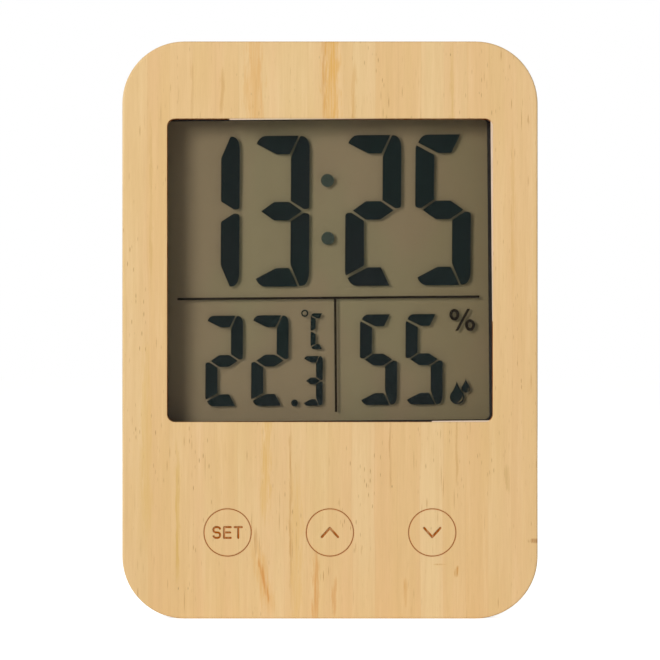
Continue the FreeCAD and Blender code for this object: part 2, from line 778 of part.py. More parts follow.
def button(name, across):
    """One push button: bamboo cap, plastic plunger, and its switch's body and actuator."""
    place = [(across, "button_height")]
    cap = sub_part(f"{name}_button_cap")
    circles(cap, f"{name}_cap", "0", "panel_thickness", place, "cap_radius")
    plunger = sub_part(f"{name}_button_plunger")
    circles(plunger, f"{name}_stem", "panel_thickness", f"{WALL_BACK} - panel_thickness", place,
            "plunger_radius")
    circles(plunger, f"{name}_flange", FLANGE_FRONT, "flange_thickness", place, "flange_radius")
    circles(plunger, f"{name}_tip", TIP_FRONT, "tip_length", place, "tip_radius")
    actuator = sub_part(f"{name}_switch_actuator")
    circles(actuator, f"{name}_actuator", ACTUATOR_FRONT,
            f"{SWITCH_FRONT} + actuator_seat - {ACTUATOR_FRONT}", place, "actuator_radius")
    switch = sub_part(f"{name}_switch_body")
    box(switch, f"{name}_switch", SWITCH_FRONT, "switch_height", f"{across} - switch_size / 2",
        "button_height - switch_size / 2", "switch_size", "switch_size", corner="switch_corner")
    circles(switch, f"{name}_well", SWITCH_FRONT, "actuator_seat + button_travel + travel_margin", place,
            "actuator_radius + actuator_gap", pocket)
    return cap


def all_buttons():
    for name, across in BUTTONS.items():
        cap = button(name, across)
        if name == "set":
            letter_strokes(cap, across, "button_height")
        else:
            chevron_strokes(cap, name, "button_height", 1 if name == "up" else -1)


def switch_terminals():
    body = sub_part("switch_terminals")
    feet = front_sketch(body, "terminal_feet", "board_front - lead_thickness")
    for across in BUTTONS.values():
        for side in (-1, 1):
            for row in (-1, 1):
                left = f"{across} + {side} * (switch_size / 2 + lead_reach / 2) - lead_reach / 2"
                up = f"button_height + {row} * switch_size / 3 - lead_width / 2"
                rectangle(feet, left, up, "lead_reach", "lead_width")
    pad(body, feet, "lead_thickness")


# ---------------------------------------------------------------- circuit board

def main_board():
    body = sub_part("main_board")
    box(body, "board_outline", "board_front", "board_thickness", "-board_width / 2", "board_bottom",
        "board_width", "board_height", corner="board_corner")
    circles(body, "board_holes", "board_front", "board_thickness", BOARD_SCREWS, "board_hole", pocket)


def chips(label, places, rise):
    """Small rectangular chip parts standing on the board's back."""
    body = sub_part(label)
    outlines = front_sketch(body, label + "_outlines", BOARD_REAR)
    for across, up in places:
        rectangle(outlines, f"{across} - chip_width / 2", f"{up} - chip_length / 2", "chip_width",
                  "chip_length")
    pad(body, outlines, rise)


def controller_blob():
    """The drop of black resin over the display controller, rounded at its edge."""
    body = sub_part("controller_blob")
    circles(body, "blob", BOARD_REAR, "blob_rise", [("0", "blob_height")],
            "blob_radius")
    level = value(y_at(f"{BOARD_REAR} + blob_rise"))
    fillet(body, "blob_rise * 0.9", lambda edge: edge.BoundBox.YMin > level - TOUCH)


def clock_crystal():
    """A watch crystal can lying on the board."""
    body = sub_part("clock_crystal")
    across = side_sketch(body, "crystal_can", "crystal_x")
    circle(across, y_at(f"{BOARD_REAR} + crystal_radius"), "crystal_height", "crystal_radius")
    pad(body, across, "crystal_length")


def humidity_sensor():
    body = sub_part("humidity_sensor")
    box(body, "sensor_case", BOARD_REAR, "sensor_rise", "sensor_x - sensor_width / 2", "sensor_bottom",
        "sensor_width", "sensor_height", corner="sensor_corner")
    slots = front_sketch(body, "sensor_slots", f"{BOARD_REAR} + sensor_rise / 2")
    for row in range(SENSOR_SLOTS):
        up = f"sensor_bottom + sensor_slot_start + {row} * 2 * sensor_slot"
        rectangle(slots, "sensor_x - sensor_width / 3", up, "sensor_width * 2 / 3", "sensor_slot")
    pocket(body, slots, "sensor_rise / 2")


def thermistor():
    """A bead on two stiff wires that hold it off the board's back."""
    body = sub_part("thermistor")
    rise = "bead_radius * 2"
    circles(body, "bead", f"{BOARD_REAR} + {rise}", "bead_radius * 1.6", [("bead_x", "bead_height")],
            "bead_radius")
    full_turn = 2 * math.pi * value("bead_radius")
    fillet(body, "bead_radius / 2", lambda edge: edge.Length > 0.99 * full_turn)
    legs = [(f"bead_x + {side} * bead_radius / 2", "bead_height") for side in (-1, 1)]
    circles(body, "bead_wires", BOARD_REAR, rise, legs, "wire_radius")


def battery_lead(label, across, start):
    """An insulated wire from a battery contact's tab down to a pad on the board's back."""
    body = sub_part(label)
    run_y = y_at("cell_depth + lead_radius + plate_thickness")
    pad_y = y_at(BOARD_REAR)
    path = side_sketch(body, label + "_path", across)
    bend = value("lead_bend")
    top = point(run_y, start)
    corner = point(run_y, "pad_height")
    foot = point(pad_y, "pad_height")
    centre = corner + FreeCAD.Vector(-bend, bend, 0)
    path.addGeometry(Part.LineSegment(top, corner + FreeCAD.Vector(0, bend, 0)), False)
    turn = Part.Circle(centre, FreeCAD.Vector(0, 0, 1), bend)
    path.addGeometry(Part.ArcOfCircle(turn, -math.pi / 2, 0), False)
    path.addGeometry(Part.LineSegment(corner - FreeCAD.Vector(bend, 0, 0), foot), False)
    path.addConstraint(Sketcher.Constraint("Tangent", 0, 2, 1, 2))
    path.addConstraint(Sketcher.Constraint("Tangent", 1, 1, 2, 1))
    path.addConstraint(Sketcher.Constraint("Horizontal", 2))
    measure(path, "Radius", (1,), "lead_bend")
    locate(path, 0, 1, run_y, start)
    locate(path, 2, 2, pad_y, "pad_height")
    section = front_sketch(body, label + "_section", BOARD_REAR)
    circle(section, across, "pad_height", "lead_radius")
    doc.recompute()
    sweep = body.newObject("PartDesign::AdditivePipe", label + "_sweep")
    sweep.Profile = section
    sweep.Spine = (path, ["Edge1", "Edge2", "Edge3"])
    doc.recompute()


# ---------------------------------------------------------------- batteries and contacts

UPPER_CELL = "(tub_centre + cell_pitch / 2)"
LOWER_CELL = "(tub_centre - cell_pitch / 2)"
TUB_SIDE = "(tub_length / 2)"
NUB_TIP = f"({TUB_SIDE} - plate_thickness - dimple_height)"
PLATE_FACE = f"({TUB_SIDE} - plate_thickness)"
SPRING_ENDS = 1.5


def cell(label, up, side):
    """An AAA cell lying across the case, its positive end towards the given side."""
    body = sub_part(label)
    can_length = "(cell_length - nub_length)"
    starts = {1: (f"{NUB_TIP} - cell_length", f"{NUB_TIP} - nub_length"),
              -1: (f"nub_length - {NUB_TIP}", f"-{NUB_TIP}")}
    for name, start, length, radius in (("can", starts[side][0], can_length, "cell_radius"),
                                        ("nub", starts[side][1], "nub_length", "nub_radius")):
        sketch = side_sketch(body, f"{label}_{name}", start)
        circle(sketch, y_at("cell_depth"), up, radius)
        pad(body, sketch, length)


def contact_plate(body, up, side, dimpled):
    """A sheet-metal plate against one end of the battery tub, with its dimple if it has one."""
    name = body.Name + ("_dimple" if dimpled else "_plain")
    start = PLATE_FACE if side > 0 else f"-{TUB_SIDE}"
    plate = side_sketch(body, name + "_plate", start)
    rectangle(plate, f"{y_at('cell_depth')} - plate_size / 2", f"{up} - plate_size / 2", "plate_size",
              "plate_size")
    pad(body, plate, "plate_thickness")
    if dimpled:
        dimple = side_sketch(body, name, NUB_TIP if side > 0 else f"-{PLATE_FACE}")
        circle(dimple, y_at("cell_depth"), up, "dimple_radius")
        pad(body, dimple, "dimple_height")


def contact_spring(up, side):
    """A conical wire spring standing on a plate; its wide first turn is welded to the plate."""
    start = PLATE_FACE if side > 0 else f"-{PLATE_FACE}"
    reach = value(f"{PLATE_FACE} + {NUB_TIP} - cell_length")
    height = reach - SPRING_ENDS * value("spring_wire")
    helix = Part.makeHelix(height / value("spring_turns"), height, value("spring_radius"),
                           -value("spring_cone"))
    wire = Part.makeCircle(value("spring_wire"), FreeCAD.Vector(value("spring_radius"), 0, 0),
                           FreeCAD.Vector(0, 1, 0))
    coil = Part.Wire(helix.Edges).makePipeShell([Part.Wire([wire])], True, True)
    turn = FreeCAD.Rotation(FreeCAD.Vector(0, 0, 1), FreeCAD.Vector(-side, 0, 0))
    base = FreeCAD.Vector(value(start), value(y_at("cell_depth")), value(up))
    return coil, FreeCAD.Placement(base, turn)


# ---------------------------------------------------------------- back

def screw_posts(body):
    circles(body, "case_posts", "split_depth", f"{BACK_INSIDE} - split_depth", CASE_SCREWS, "case_post")


def battery_tub(body):
    """The walled compartment and the rebate that its cover drops into."""
    box(body, "tub_outside", TUB_FRONT, f"{BACK_INSIDE} - {TUB_FRONT}", "-tub_length / 2 - tub_wall",
        "tub_centre - tub_height / 2 - tub_wall", "tub_length + 2 * tub_wall",
        "tub_height + 2 * tub_wall")
    box(body, "tub_inside", "tub_floor", "case_depth", "-tub_length / 2",
        "tub_centre - tub_height / 2", "tub_length", "tub_height", pocket)
    box(body, "cover_seat", COVER_FRONT, "cover_thickness", "-cover_width / 2 - cover_gap",
        "tub_centre - cover_height / 2 - cover_gap", "cover_width + 2 * cover_gap",
        "cover_height + 2 * cover_gap", pocket, "cover_corner")
    bottom = "(tub_centre - cover_height / 2)"
    rooms = front_sketch(body, "hook_rooms", f"{BACK_INSIDE} - hook_thickness - hook_room_depth")
    doorways = front_sketch(body, "hook_doorways", f"{BACK_INSIDE} - cover_gap")
    for side in (-1, 1):
        left = f"{side} * hook_x - hook_width / 2 - hook_room_side"
        width = "hook_width + 2 * hook_room_side"
        rectangle(rooms, left, f"{bottom} - hook_drop - hook_room_end", width,
                  "hook_drop + hook_room_end + hook_neck + hook_room_swing")
        rectangle(doorways, left, f"{bottom} - cover_gap", width,
                  "cover_gap + hook_neck + hook_room_swing")
    pocket(body, rooms, "hook_thickness + hook_room_depth")
    pocket(body, doorways, "cover_thickness")
    circles(body, "cover_scoop", "case_depth - scoop_depth", "scoop_depth",
            [("0", "tub_centre + cover_height / 2 + scoop_rise")], "scoop_radius", pocket)
    slots = front_sketch(body, "tab_slots", "cell_depth - tab_slot_gap")
    for up in (UPPER_CELL, LOWER_CELL):
        rectangle(slots, "tub_length / 2 - tab_slot_gap", f"{up} - tab_width / 2 - tab_slot_gap",
                  "tub_wall + 2 * tab_slot_gap", "tab_width + 2 * tab_slot_gap")
    pocket(body, slots, "plate_thickness + 2 * tab_slot_gap")


def stand_recess(body):
    """The tray that the folded leg lies in, with bores for the leg's two stub pins."""
    inside = "(leg_width + 2 * leg_gap)"
    bottom = "(leg_bottom - leg_gap * 1.5)"
    top = "(hinge_height + leg_thickness / 2 + leg_gap * 2)"
    tray_bottom = "(shell_inset + shell_wall)"
    box(body, "tray_outside", "recess_floor - tray_floor", f"{BACK_INSIDE} - recess_floor + tray_floor",
        f"-{inside} / 2 - tray_wall", tray_bottom, f"{inside} + 2 * tray_wall",
        f"{top} + tray_floor - {tray_bottom}")
    box(body, "tray_inside", "recess_floor", "case_depth", f"-{inside} / 2", bottom, inside,
        f"{top} - {bottom}", pocket)
    bores = side_sketch(body, "pin_bores", "0")
    circle(bores, y_at("hinge_depth"), "hinge_height", "pin_radius + pin_gap")
    pocket(body, bores, f"{inside} + 2 * (pin_length + pin_end_gap)", midplane=True)
    sides = [(f"{side} * {inside} / 2", "leg_scoop_height") for side in (-1, 1)]
    circles(body, "leg_scoops", "case_depth - scoop_depth", "scoop_depth", sides, "leg_scoop_radius",
            pocket)


def vents(body):
    slots = front_sketch(body, "vent_slots", BACK_INSIDE)
    for side in (-1, 1):
        for row in range(VENTS_PER_SIDE):
            up = f"vent_bottom + {row} * vent_pitch"
            ends = sorted([f"{side} * vent_inner", f"{side} * (vent_inner + vent_length)"], key=value)
            stroke(slots, (ends[0], up), (ends[1], up), "vent_width")
    pocket(body, slots, "back_wall")


def keyhole(body):
    """A keyhole in the back wall, closed from inside by a small box that the nail's head sits in."""
    half = "(keyhole_radius + keyhole_margin)"
    bottom = f"(keyhole_height - {half})"
    rise = f"(keyhole_rise + keyhole_slot + keyhole_margin + {half})"
    room_front = f"({BACK_INSIDE} - keyhole_room)"
    box(body, "keyhole_box", f"{room_front} - keyhole_wall", "keyhole_room + keyhole_wall",
        f"-{half} - keyhole_wall", f"{bottom} - keyhole_wall", f"2 * {half} + 2 * keyhole_wall",
        f"{rise} + 2 * keyhole_wall")
    box(body, "keyhole_inside", room_front, "keyhole_room", f"-{half}", bottom, f"2 * {half}", rise,
        pocket)
    circles(body, "keyhole_entry", BACK_INSIDE, "back_wall", [("0", "keyhole_height")],
            "keyhole_radius", pocket)
    slot = front_sketch(body, "keyhole_neck", BACK_INSIDE)
    stroke(slot, ("0", "keyhole_height"), ("0", "keyhole_height + keyhole_rise"),
           "2 * keyhole_slot")
    pocket(body, slot, "back_wall")


def rear_housing():
    body = sub_part("rear_housing")
    inner_wall = "(shell_wall + tongue_gap + tongue_wall)"
    pad(body, shell_outline(body, "back_outside", "split_depth", "0"), "case_depth - split_depth")
    level = value(y_at("case_depth"))
    fillet(body, "back_round", lambda edge: edge.BoundBox.YMin > level - TOUCH)
    tongue_front = "(split_depth - tongue_length)"
    pad(body, shell_outline(body, "tongue", tongue_front, "shell_wall + tongue_gap"), "tongue_length")
    pocket(body, shell_outline(body, "back_inside", tongue_front, inner_wall),
           f"{BACK_INSIDE} - {tongue_front}")
    screw_posts(body)
    battery_tub(body)
    stand_recess(body)
    circles(body, "case_holes", "split_depth", "case_depth", CASE_SCREWS, "case_hole", pocket)
    circles(body, "head_wells", "head_seat", "case_depth", CASE_SCREWS, "head_well", pocket)
    vents(body)
    keyhole(body)


def battery_cover():
    body = sub_part("battery_cover")
    bottom = "(tub_centre - cover_height / 2)"
    box(body, "cover_plate", COVER_FRONT, "cover_thickness", "-cover_width / 2", bottom, "cover_width",
        "cover_height", corner="cover_corner")
    hook_front = f"({BACK_INSIDE} - hook_gap - hook_thickness)"
    necks = front_sketch(body, "hook_necks", hook_front)
    hooks = front_sketch(body, "hooks", hook_front)
    for side in (-1, 1):
        left = f"{side} * hook_x - hook_width / 2"
        rectangle(necks, left, bottom, "hook_width", "hook_neck")
        rectangle(hooks, left, f"{bottom} - hook_drop", "hook_width", "hook_drop + hook_neck / 2")
    pad(body, necks, f"{COVER_FRONT} - {hook_front}")
    pad(body, hooks, "hook_thickness")
    grooves = front_sketch(body, "grip_grooves", "case_depth - grip_depth")
    for row in range(GRIP_GROOVES):
        up = f"tub_centre + cover_height / 2 - grip_start - {row} * grip_pitch"
        stroke(grooves, ("-grip_width / 2", up), ("grip_width / 2", up), "grip_groove")
    pocket(body, grooves, "grip_depth")


def stand_leg():
    body = sub_part("stand_leg")
    front = "(hinge_depth - leg_thickness / 2)"
    height = "(hinge_height + leg_thickness / 2 - leg_bottom)"
    box(body, "leg_plate", front, "leg_thickness", "-leg_width / 2", "leg_bottom", "leg_width", height)
    top = value("hinge_height + leg_thickness / 2")
    fillet(body, "leg_round",
           lambda edge: edge.BoundBox.ZMin > top - TOUCH and edge.BoundBox.XLength > 1)
    low = value("leg_bottom")
    fillet(body, "leg_corner",
           lambda edge: edge.BoundBox.ZMax < low + TOUCH and edge.BoundBox.YLength > 1)
    pins = side_sketch(body, "leg_pins", "0")
    circle(pins, y_at("hinge_depth"), "hinge_height", "pin_radius")
    pad(body, pins, "leg_width + 2 * pin_length", midplane=True)
    grooves = front_sketch(body, "leg_grooves", "hinge_depth + leg_thickness / 2 - grip_depth")
    for row in range(GRIP_GROOVES):
        up = f"leg_bottom + leg_grip_start + {row} * grip_pitch"
        stroke(grooves, ("-grip_width / 2", up), ("grip_width / 2", up), "grip_groove")
    pocket(body, grooves, "grip_depth")


# ---------------------------------------------------------------- contacts

def contact(label, ends, tabbed):
    """One battery contact: its plates as a body, and its spring (if any) fused on."""
    body = doc.addObject("PartDesign::Body", label + "_sheet")
    for up, side, kind in ends:
        contact_plate(body, up, side, kind == "dimple")
        if tabbed:
            left = f"{side} * ({PLATE_FACE} + tab_reach / 2) - tab_reach / 2"
            box(body, f"{label}_tab", "cell_depth", "plate_thickness", left, f"{up} - tab_width / 2",
                "tab_reach", "tab_width")
    if len(ends) > 1:
        left = f"{ends[0][1]} * {TUB_SIDE} + {0 if ends[0][1] < 0 else -1} * plate_thickness"
        box(body, f"{label}_link", "cell_depth - plate_size / 2", "plate_size", left, LOWER_CELL,
            "plate_thickness", "cell_pitch")
    springs = [(up, side) for up, side, kind in ends if kind == "spring"]
    pieces = [body]
    for up, side in springs:
        coil, placement = contact_spring(up, side)
        spring = doc.addObject("Part::Feature", label + "_spring")
        spring.Shape = coil
        spring.Placement = placement
        pieces.append(spring)
    if len(pieces) == 1:
        body.Label = label
        SUB_PARTS.append(body)
        return
    joined = doc.addObject("Part::MultiFuse", label)
    joined.Shapes = pieces
    joined.Label = label
    SUB_PARTS.append(joined)


def contacts():
    contact("positive_contact", [(UPPER_CELL, 1, "dimple")], True)
    contact("negative_contact", [(LOWER_CELL, 1, "spring")], True)
    contact("bridge_contact", [(UPPER_CELL, -1, "spring"), (LOWER_CELL, -1, "dimple")], False)


# ---------------------------------------------------------------- whole object

def build():
    front_panel()
    panel_adhesive()
    front_housing()
    display_lens()
    display_gasket()
    display_films()
    display_glasses()
    display_bracket()
    zebra_strip()
    all_screws()
    all_buttons()
    switch_terminals()
    main_board()
    chips("chip_capacitors", CHIP_CAPACITORS, "capacitor_rise")
    chips("chip_resistors", CHIP_RESISTORS, "resistor_rise")
    controller_blob()
    clock_crystal()
    humidity_sensor()
    thermistor()
    battery_lead("red_lead", "red_x", f"{UPPER_CELL} - tab_width / 2")
    battery_lead("black_lead", "black_x", f"{LOWER_CELL} - tab_width / 2")
    contacts()
    cell("aaa_cell_upper", UPPER_CELL, 1)
    cell("aaa_cell_lower", LOWER_CELL, -1)
    rear_housing()
    battery_cover()
    stand_leg()


def check():
    doc.recompute()
    for item in doc.Objects:
        if "Invalid" in item.State or "Error" in item.State:
            raise RuntimeError(f"{item.Label}: {item.State}")
    for item in SUB_PARTS:
        if item.Shape.isNull() or not item.Shape.isValid() or not item.Shape.Solids:
            raise RuntimeError(f"{item.Label} has no valid solid")


def write():
    os.makedirs("parts", exist_ok=True)
    for item in SUB_PARTS:
        item.Shape.exportStep(f"parts/{item.Label}.step")


build()
check()
write()
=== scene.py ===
import math

import bmesh
import bpy
from mathutils import Euler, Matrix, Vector


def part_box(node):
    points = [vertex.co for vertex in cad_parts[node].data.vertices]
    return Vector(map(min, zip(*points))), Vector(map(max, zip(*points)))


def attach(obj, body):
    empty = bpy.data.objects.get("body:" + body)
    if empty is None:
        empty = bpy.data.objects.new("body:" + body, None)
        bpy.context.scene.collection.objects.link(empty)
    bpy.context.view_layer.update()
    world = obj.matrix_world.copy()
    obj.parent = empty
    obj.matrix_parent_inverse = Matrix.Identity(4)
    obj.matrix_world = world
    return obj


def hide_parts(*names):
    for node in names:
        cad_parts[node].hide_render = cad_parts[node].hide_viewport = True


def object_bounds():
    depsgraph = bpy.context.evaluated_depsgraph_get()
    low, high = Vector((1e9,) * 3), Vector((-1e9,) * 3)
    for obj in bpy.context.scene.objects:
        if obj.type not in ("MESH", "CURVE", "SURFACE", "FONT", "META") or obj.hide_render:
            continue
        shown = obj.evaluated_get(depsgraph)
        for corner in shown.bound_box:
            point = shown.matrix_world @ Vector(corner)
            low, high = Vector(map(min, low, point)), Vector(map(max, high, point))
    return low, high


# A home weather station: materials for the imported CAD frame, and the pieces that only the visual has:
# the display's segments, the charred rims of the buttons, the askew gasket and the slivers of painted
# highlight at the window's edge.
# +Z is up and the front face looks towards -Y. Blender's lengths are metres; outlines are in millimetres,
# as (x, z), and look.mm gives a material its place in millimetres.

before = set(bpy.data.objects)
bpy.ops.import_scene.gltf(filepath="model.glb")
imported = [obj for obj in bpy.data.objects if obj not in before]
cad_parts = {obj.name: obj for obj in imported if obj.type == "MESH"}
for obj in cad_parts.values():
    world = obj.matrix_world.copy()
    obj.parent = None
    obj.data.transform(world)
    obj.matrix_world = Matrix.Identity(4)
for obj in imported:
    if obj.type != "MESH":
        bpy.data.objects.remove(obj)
CAD_LOW, CAD_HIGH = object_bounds()

MM = 0.001
FRONT_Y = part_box("front_panel")[0][1]
CENTRE_X = (CAD_LOW[0] + CAD_HIGH[0]) / 2
CASE_HEIGHT = CAD_HIGH[2] - CAD_LOW[2]
CAP_NODES = ("set_button_cap", "up_button_cap", "down_button_cap")


def middle(node):
    """The middle of a CAD node's box, in metres."""
    low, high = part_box(node)
    return [(a + b) / 2 for a, b in zip(low, high)]


# The window in the bamboo, in mm.
WINDOW_WIDTH = 74.5
WINDOW_HEIGHT = 69.4
WINDOW_MIDDLE = middle("display_lens")[2] / MM


# ---------------------------------------------------------------- material graphs

BEVEL_SAMPLES = 4


class Look:
    """A node material under construction. node() adds a node and sets or links its inputs; mm is the
    place in the object's own frame in millimetres, and x, y and z are its parts."""

    def __init__(self, name):
        self.material = bpy.data.materials.new(name)
        self.material.use_nodes = True
        self.tree = self.material.node_tree
        self.tree.nodes.clear()
        place = self.node("ShaderNodeTexCoord").outputs["Object"]
        self.mm = self.vector("SCALE", place, scale=1 / MM)
        axes = self.node("ShaderNodeSeparateXYZ", {"Vector": self.mm}).outputs
        self.x, self.y, self.z = axes["X"], axes["Y"], axes["Z"]

    def node(self, kind, inputs=None, **settings):
        made = self.tree.nodes.new(kind)
        for name, setting in settings.items():
            setattr(made, name, setting)
        for name, source in (inputs or {}).items():
            self.feed(made.inputs[name], source)
        return made

    def feed(self, socket, source):
        if isinstance(source, bpy.types.NodeSocket):
            self.tree.links.new(source, socket)
        elif source is not None:
            if socket.type == "RGBA" and len(source) == 3:
                source = (*source, 1.0)
            socket.default_value = source

    def vector(self, operation, first, second=None, scale=None):
        made = self.node("ShaderNodeVectorMath", operation=operation)
        self.feed(made.inputs[0], first)
        if second is not None:
            self.feed(made.inputs[1], second)
        if scale is not None:
            self.feed(made.inputs["Scale"], scale)
        return made.outputs["Value" if operation == "LENGTH" else "Vector"]

    def maths(self, operation, first, second=None):
        made = self.node("ShaderNodeMath", operation=operation)
        self.feed(made.inputs[0], first)
        if second is not None:
            self.feed(made.inputs[1], second)
        return made.outputs[0]

    def noise(self, squeeze, detail=2.0, roughness=0.5, shift=(0, 0, 0), distortion=0.0):
        """Noise in millimetres, with its pattern squeezed by that much along each axis."""
        place = self.vector("MULTIPLY", self.mm, squeeze)
        place = self.vector("ADD", place, shift)
        made = self.node("ShaderNodeTexNoise", {"Vector": place, "Scale": 1.0, "Detail": detail,
                                                "Roughness": roughness, "Distortion": distortion})
        return made.outputs["Fac"]

    def ramp(self, source, from_low, from_high, to_low=0.0, to_high=1.0, smooth=False):
        """Maps a number from one range to another, held at both ends."""
        kind = "SMOOTHSTEP" if smooth else "LINEAR"
        made = self.node("ShaderNodeMapRange",
                         {"Value": source, "From Min": from_low, "From Max": from_high,
                          "To Min": to_low, "To Max": to_high}, interpolation_type=kind)
        return made.outputs["Result"]

    def mix(self, amount, first, second):
        """A colour between two others: the mix node's colour sockets are told apart only by number."""
        made = self.node("ShaderNodeMix", data_type="RGBA")
        self.feed(made.inputs["Factor"], amount)
        self.feed(made.inputs[6], first)
        self.feed(made.inputs[7], second)
        return made.outputs[2]

    def bump(self, height, distance, strength, rounding=None):
        """A bump whose full height is distance in metres; rounding also softens edges."""
        normal = None
        if rounding:
            normal = self.node("ShaderNodeBevel", {"Radius": rounding}, samples=BEVEL_SAMPLES).outputs[0]
        made = self.node("ShaderNodeBump", {"Height": height, "Distance": distance,
                                            "Strength": strength, "Normal": normal})
        return made.outputs["Normal"]

    def surface(self, base, roughness, normal=None, metallic=0.0, specular=None):
        inputs = {"Base Color": base, "Roughness": roughness, "Normal": normal, "Metallic": metallic,
                  "Specular IOR Level": specular}
        return self.node("ShaderNodeBsdfPrincipled", inputs).outputs["BSDF"]

    def blend(self, amount, first, second):
        """A shader between two others."""
        made = self.node("ShaderNodeMixShader")
        for socket, source in zip(made.inputs, (amount, first, second)):
            self.feed(socket, source)
        return made.outputs[0]

    def see_through(self, tint):
        return self.node("ShaderNodeBsdfTransparent", {"Color": tint}).outputs["BSDF"]

    def done(self, shader):
        self.node("ShaderNodeOutputMaterial", {"Surface": shader})
        return self.material


def linear(red, green, blue):
    """A colour given as 0 to 255 screen values, as the linear values that nodes take."""
    def one(level):
        level = level / 255
        return level / 12.92 if level <= 0.04045 else ((level + 0.055) / 1.055) ** 2.4
    return (one(red), one(green), one(blue))


def wear(obj, material):
    """The object gets this material and no other."""
    obj.data.materials.clear()
    obj.data.materials.append(material)


# ---------------------------------------------------------------- wood

STRIP_WIDTH = 5.2    # mm
WOOD_PALE = (230, 200, 148)
WOOD_WARM = (226, 188, 132)
WOOD_OCHRE = (222, 186, 124)
WOOD_PINK = (229, 189, 139)
WOOD_FIBRE = (208, 168, 112)
WOOD_LIGHT = (238, 208, 160)
BURNT = (166, 88, 22)
BURNT_RIM = (180, 86, 6)
WOOD_SPECULAR = 0.3
WOOD_RELIEF = 0.05 * MM
# Natural marks: middle (x, z), half width, half length, lean (x per z), colour, strength.
GRAIN_MARKS = (
    (0.3, 126.0, 1.9, 18.0, 0.0, (220, 168, 82), 0.9),
    (-1.4, 124.0, 0.5, 13.0, 0.0, (206, 148, 72), 0.6),
    (-17.4, 122.0, 2.2, 15.0, 0.0, (220, 172, 104), 0.8),
    (-15.4, 9.5, 1.8, 9.0, -0.2, (218, 166, 86), 0.6),
    (-15.1, 8.6, 0.5, 5.6, -0.24, (208, 142, 66), 0.95),
    (-14.6, 36.0, 1.1, 15.0, 0.03, (219, 176, 100), 0.85),
    (-17.0, 17.5, 0.35, 3.5, 0.0, (190, 140, 78), 0.6),
    (-34.9, 24.0, 0.5, 17.0, 0.0, (212, 172, 92), 0.85),
    (-42.0, 40.0, 1.2, 26.0, 0.0, (217, 178, 102), 0.5),
    (-9.0, 24.0, 0.35, 22.0, 0.0, (196, 148, 80), 0.8),
    (-7.6, 14.0, 1.4, 22.0, 0.0, (222, 182, 112), 0.6),
    (-3.2, 7.0, 0.8, 9.0, 0.0, (212, 152, 80), 0.8),
    (1.0, 5.0, 0.6, 5.0, 0.02, (210, 148, 76), 0.7),
    (13.8, 38.0, 0.3, 9.0, 0.0, (194, 146, 84), 0.7),
    (29.0, 38.0, 0.3, 8.0, 0.0, (198, 150, 84), 0.7),
    (17.3, 6.0, 0.4, 3.6, 0.0, (208, 154, 80), 0.7),
    (29.0, 10.8, 0.5, 1.4, 0.12, (198, 140, 62), 0.9),
    (25.0, 12.4, 1.4, 0.2, 0.0, (200, 150, 84), 0.7),
    (47.0, 17.8, 1.3, 0.6, 0.0, (170, 120, 62), 0.9),
    (40.5, 32.0, 0.7, 3.5, -0.1, (200, 164, 104), 0.7),
    (5.4, 119.0, 0.6, 9.0, 0.02, (210, 160, 88), 0.6),
    (-31.5, 121.0, 0.4, 8.0, 0.0, (204, 160, 98), 0.6),
    (-24.6, 121.0, 0.6, 6.0, 0.03, (204, 158, 92), 0.7),
    (28.0, 121.0, 0.5, 12.0, 0.0, (214, 174, 104), 0.6),
    (41.8, 92.0, 0.5, 20.0, 0.0, (214, 172, 104), 0.6),
    (-41.0, 95.0, 0.4, 22.0, 0.0, (208, 168, 100), 0.6),
)


def grain_mark(look, colour, mark):
    """One soft streak, broken up along the fibres."""
    across, up, half_width, half_length, lean, tint, strength = mark
    rise = look.maths("SUBTRACT", look.z, up)
    centre = look.maths("ADD", look.maths("MULTIPLY", rise, lean), across)
    side = look.maths("SUBTRACT", look.x, centre)
    ragged = look.noise((1.6, 0.5, 0.16), detail=4.0, roughness=0.65, shift=(across, 0, 4))
    side = look.maths("ADD", side, look.ramp(ragged, 0.25, 0.75, -half_width, half_width))
    wide = look.maths("POWER", look.maths("DIVIDE", side, half_width), 2.0)
    tall = look.maths("POWER", look.maths("ABSOLUTE", look.maths("DIVIDE", rise, half_length)), 3.0)
    inside = look.ramp(look.maths("ADD", wide, tall), 0.0, 1.3, strength, 0.0, smooth=True)
    broken = look.noise((4.0, 0.5, 0.09), detail=4.0, roughness=0.6, shift=(across, 0, 0))
    inside = look.maths("MULTIPLY", inside, look.ramp(broken, 0.35, 0.6, 0.25, 1.0))
    return look.mix(inside, colour, linear(*tint))


# Dark fibre ends of four kinds: how many fit in a millimetre across and along, their half width as a part
# of that spacing, how rare they are, where their patches start in the patch noise, and their colour.
PORES = (
    (1.6, 0.14, 0.22, 0.66, 0.42, (180, 132, 72)),
    (2.2, 0.35, 0.26, 0.66, 0.46, (166, 118, 62)),
    (1.3, 0.035, 0.11, 0.5, 0.3, (182, 134, 74)),
    (0.9, 0.28, 0.12, 0.84, 0.48, (132, 92, 48)),
)


def pore_amount(look, seed, across, along, width, rarity, patch_low):
    """Where one kind of fibre end shows, from 0 to 1: single cells of a pattern, gathered in patches."""
    place = look.vector("MULTIPLY", look.mm, (across, across * 0.5, along))
    place = look.vector("ADD", place, (seed * 17.3, seed * 5.1, seed * 3.7))
    cells = look.node("ShaderNodeTexVoronoi", {"Vector": place, "Scale": 1.0}, feature="F1")
    chosen = look.node("ShaderNodeSeparateColor", {"Color": cells.outputs["Color"]})
    patches = look.noise((0.11, 0.11, 0.03), detail=2.0, shift=(seed * 9.0, 0, seed * 2.0))
    inside = look.ramp(cells.outputs["Distance"], width * 0.35, width, 1.0, 0.0)
    picked = look.ramp(chosen.outputs["Red"], rarity, rarity + 0.1, 0.0, 0.85)
    crowd = look.ramp(patches, patch_low, patch_low + 0.22, 0.1, 1.0, smooth=True)
    return look.maths("MULTIPLY", look.maths("MULTIPLY", inside, picked), crowd)


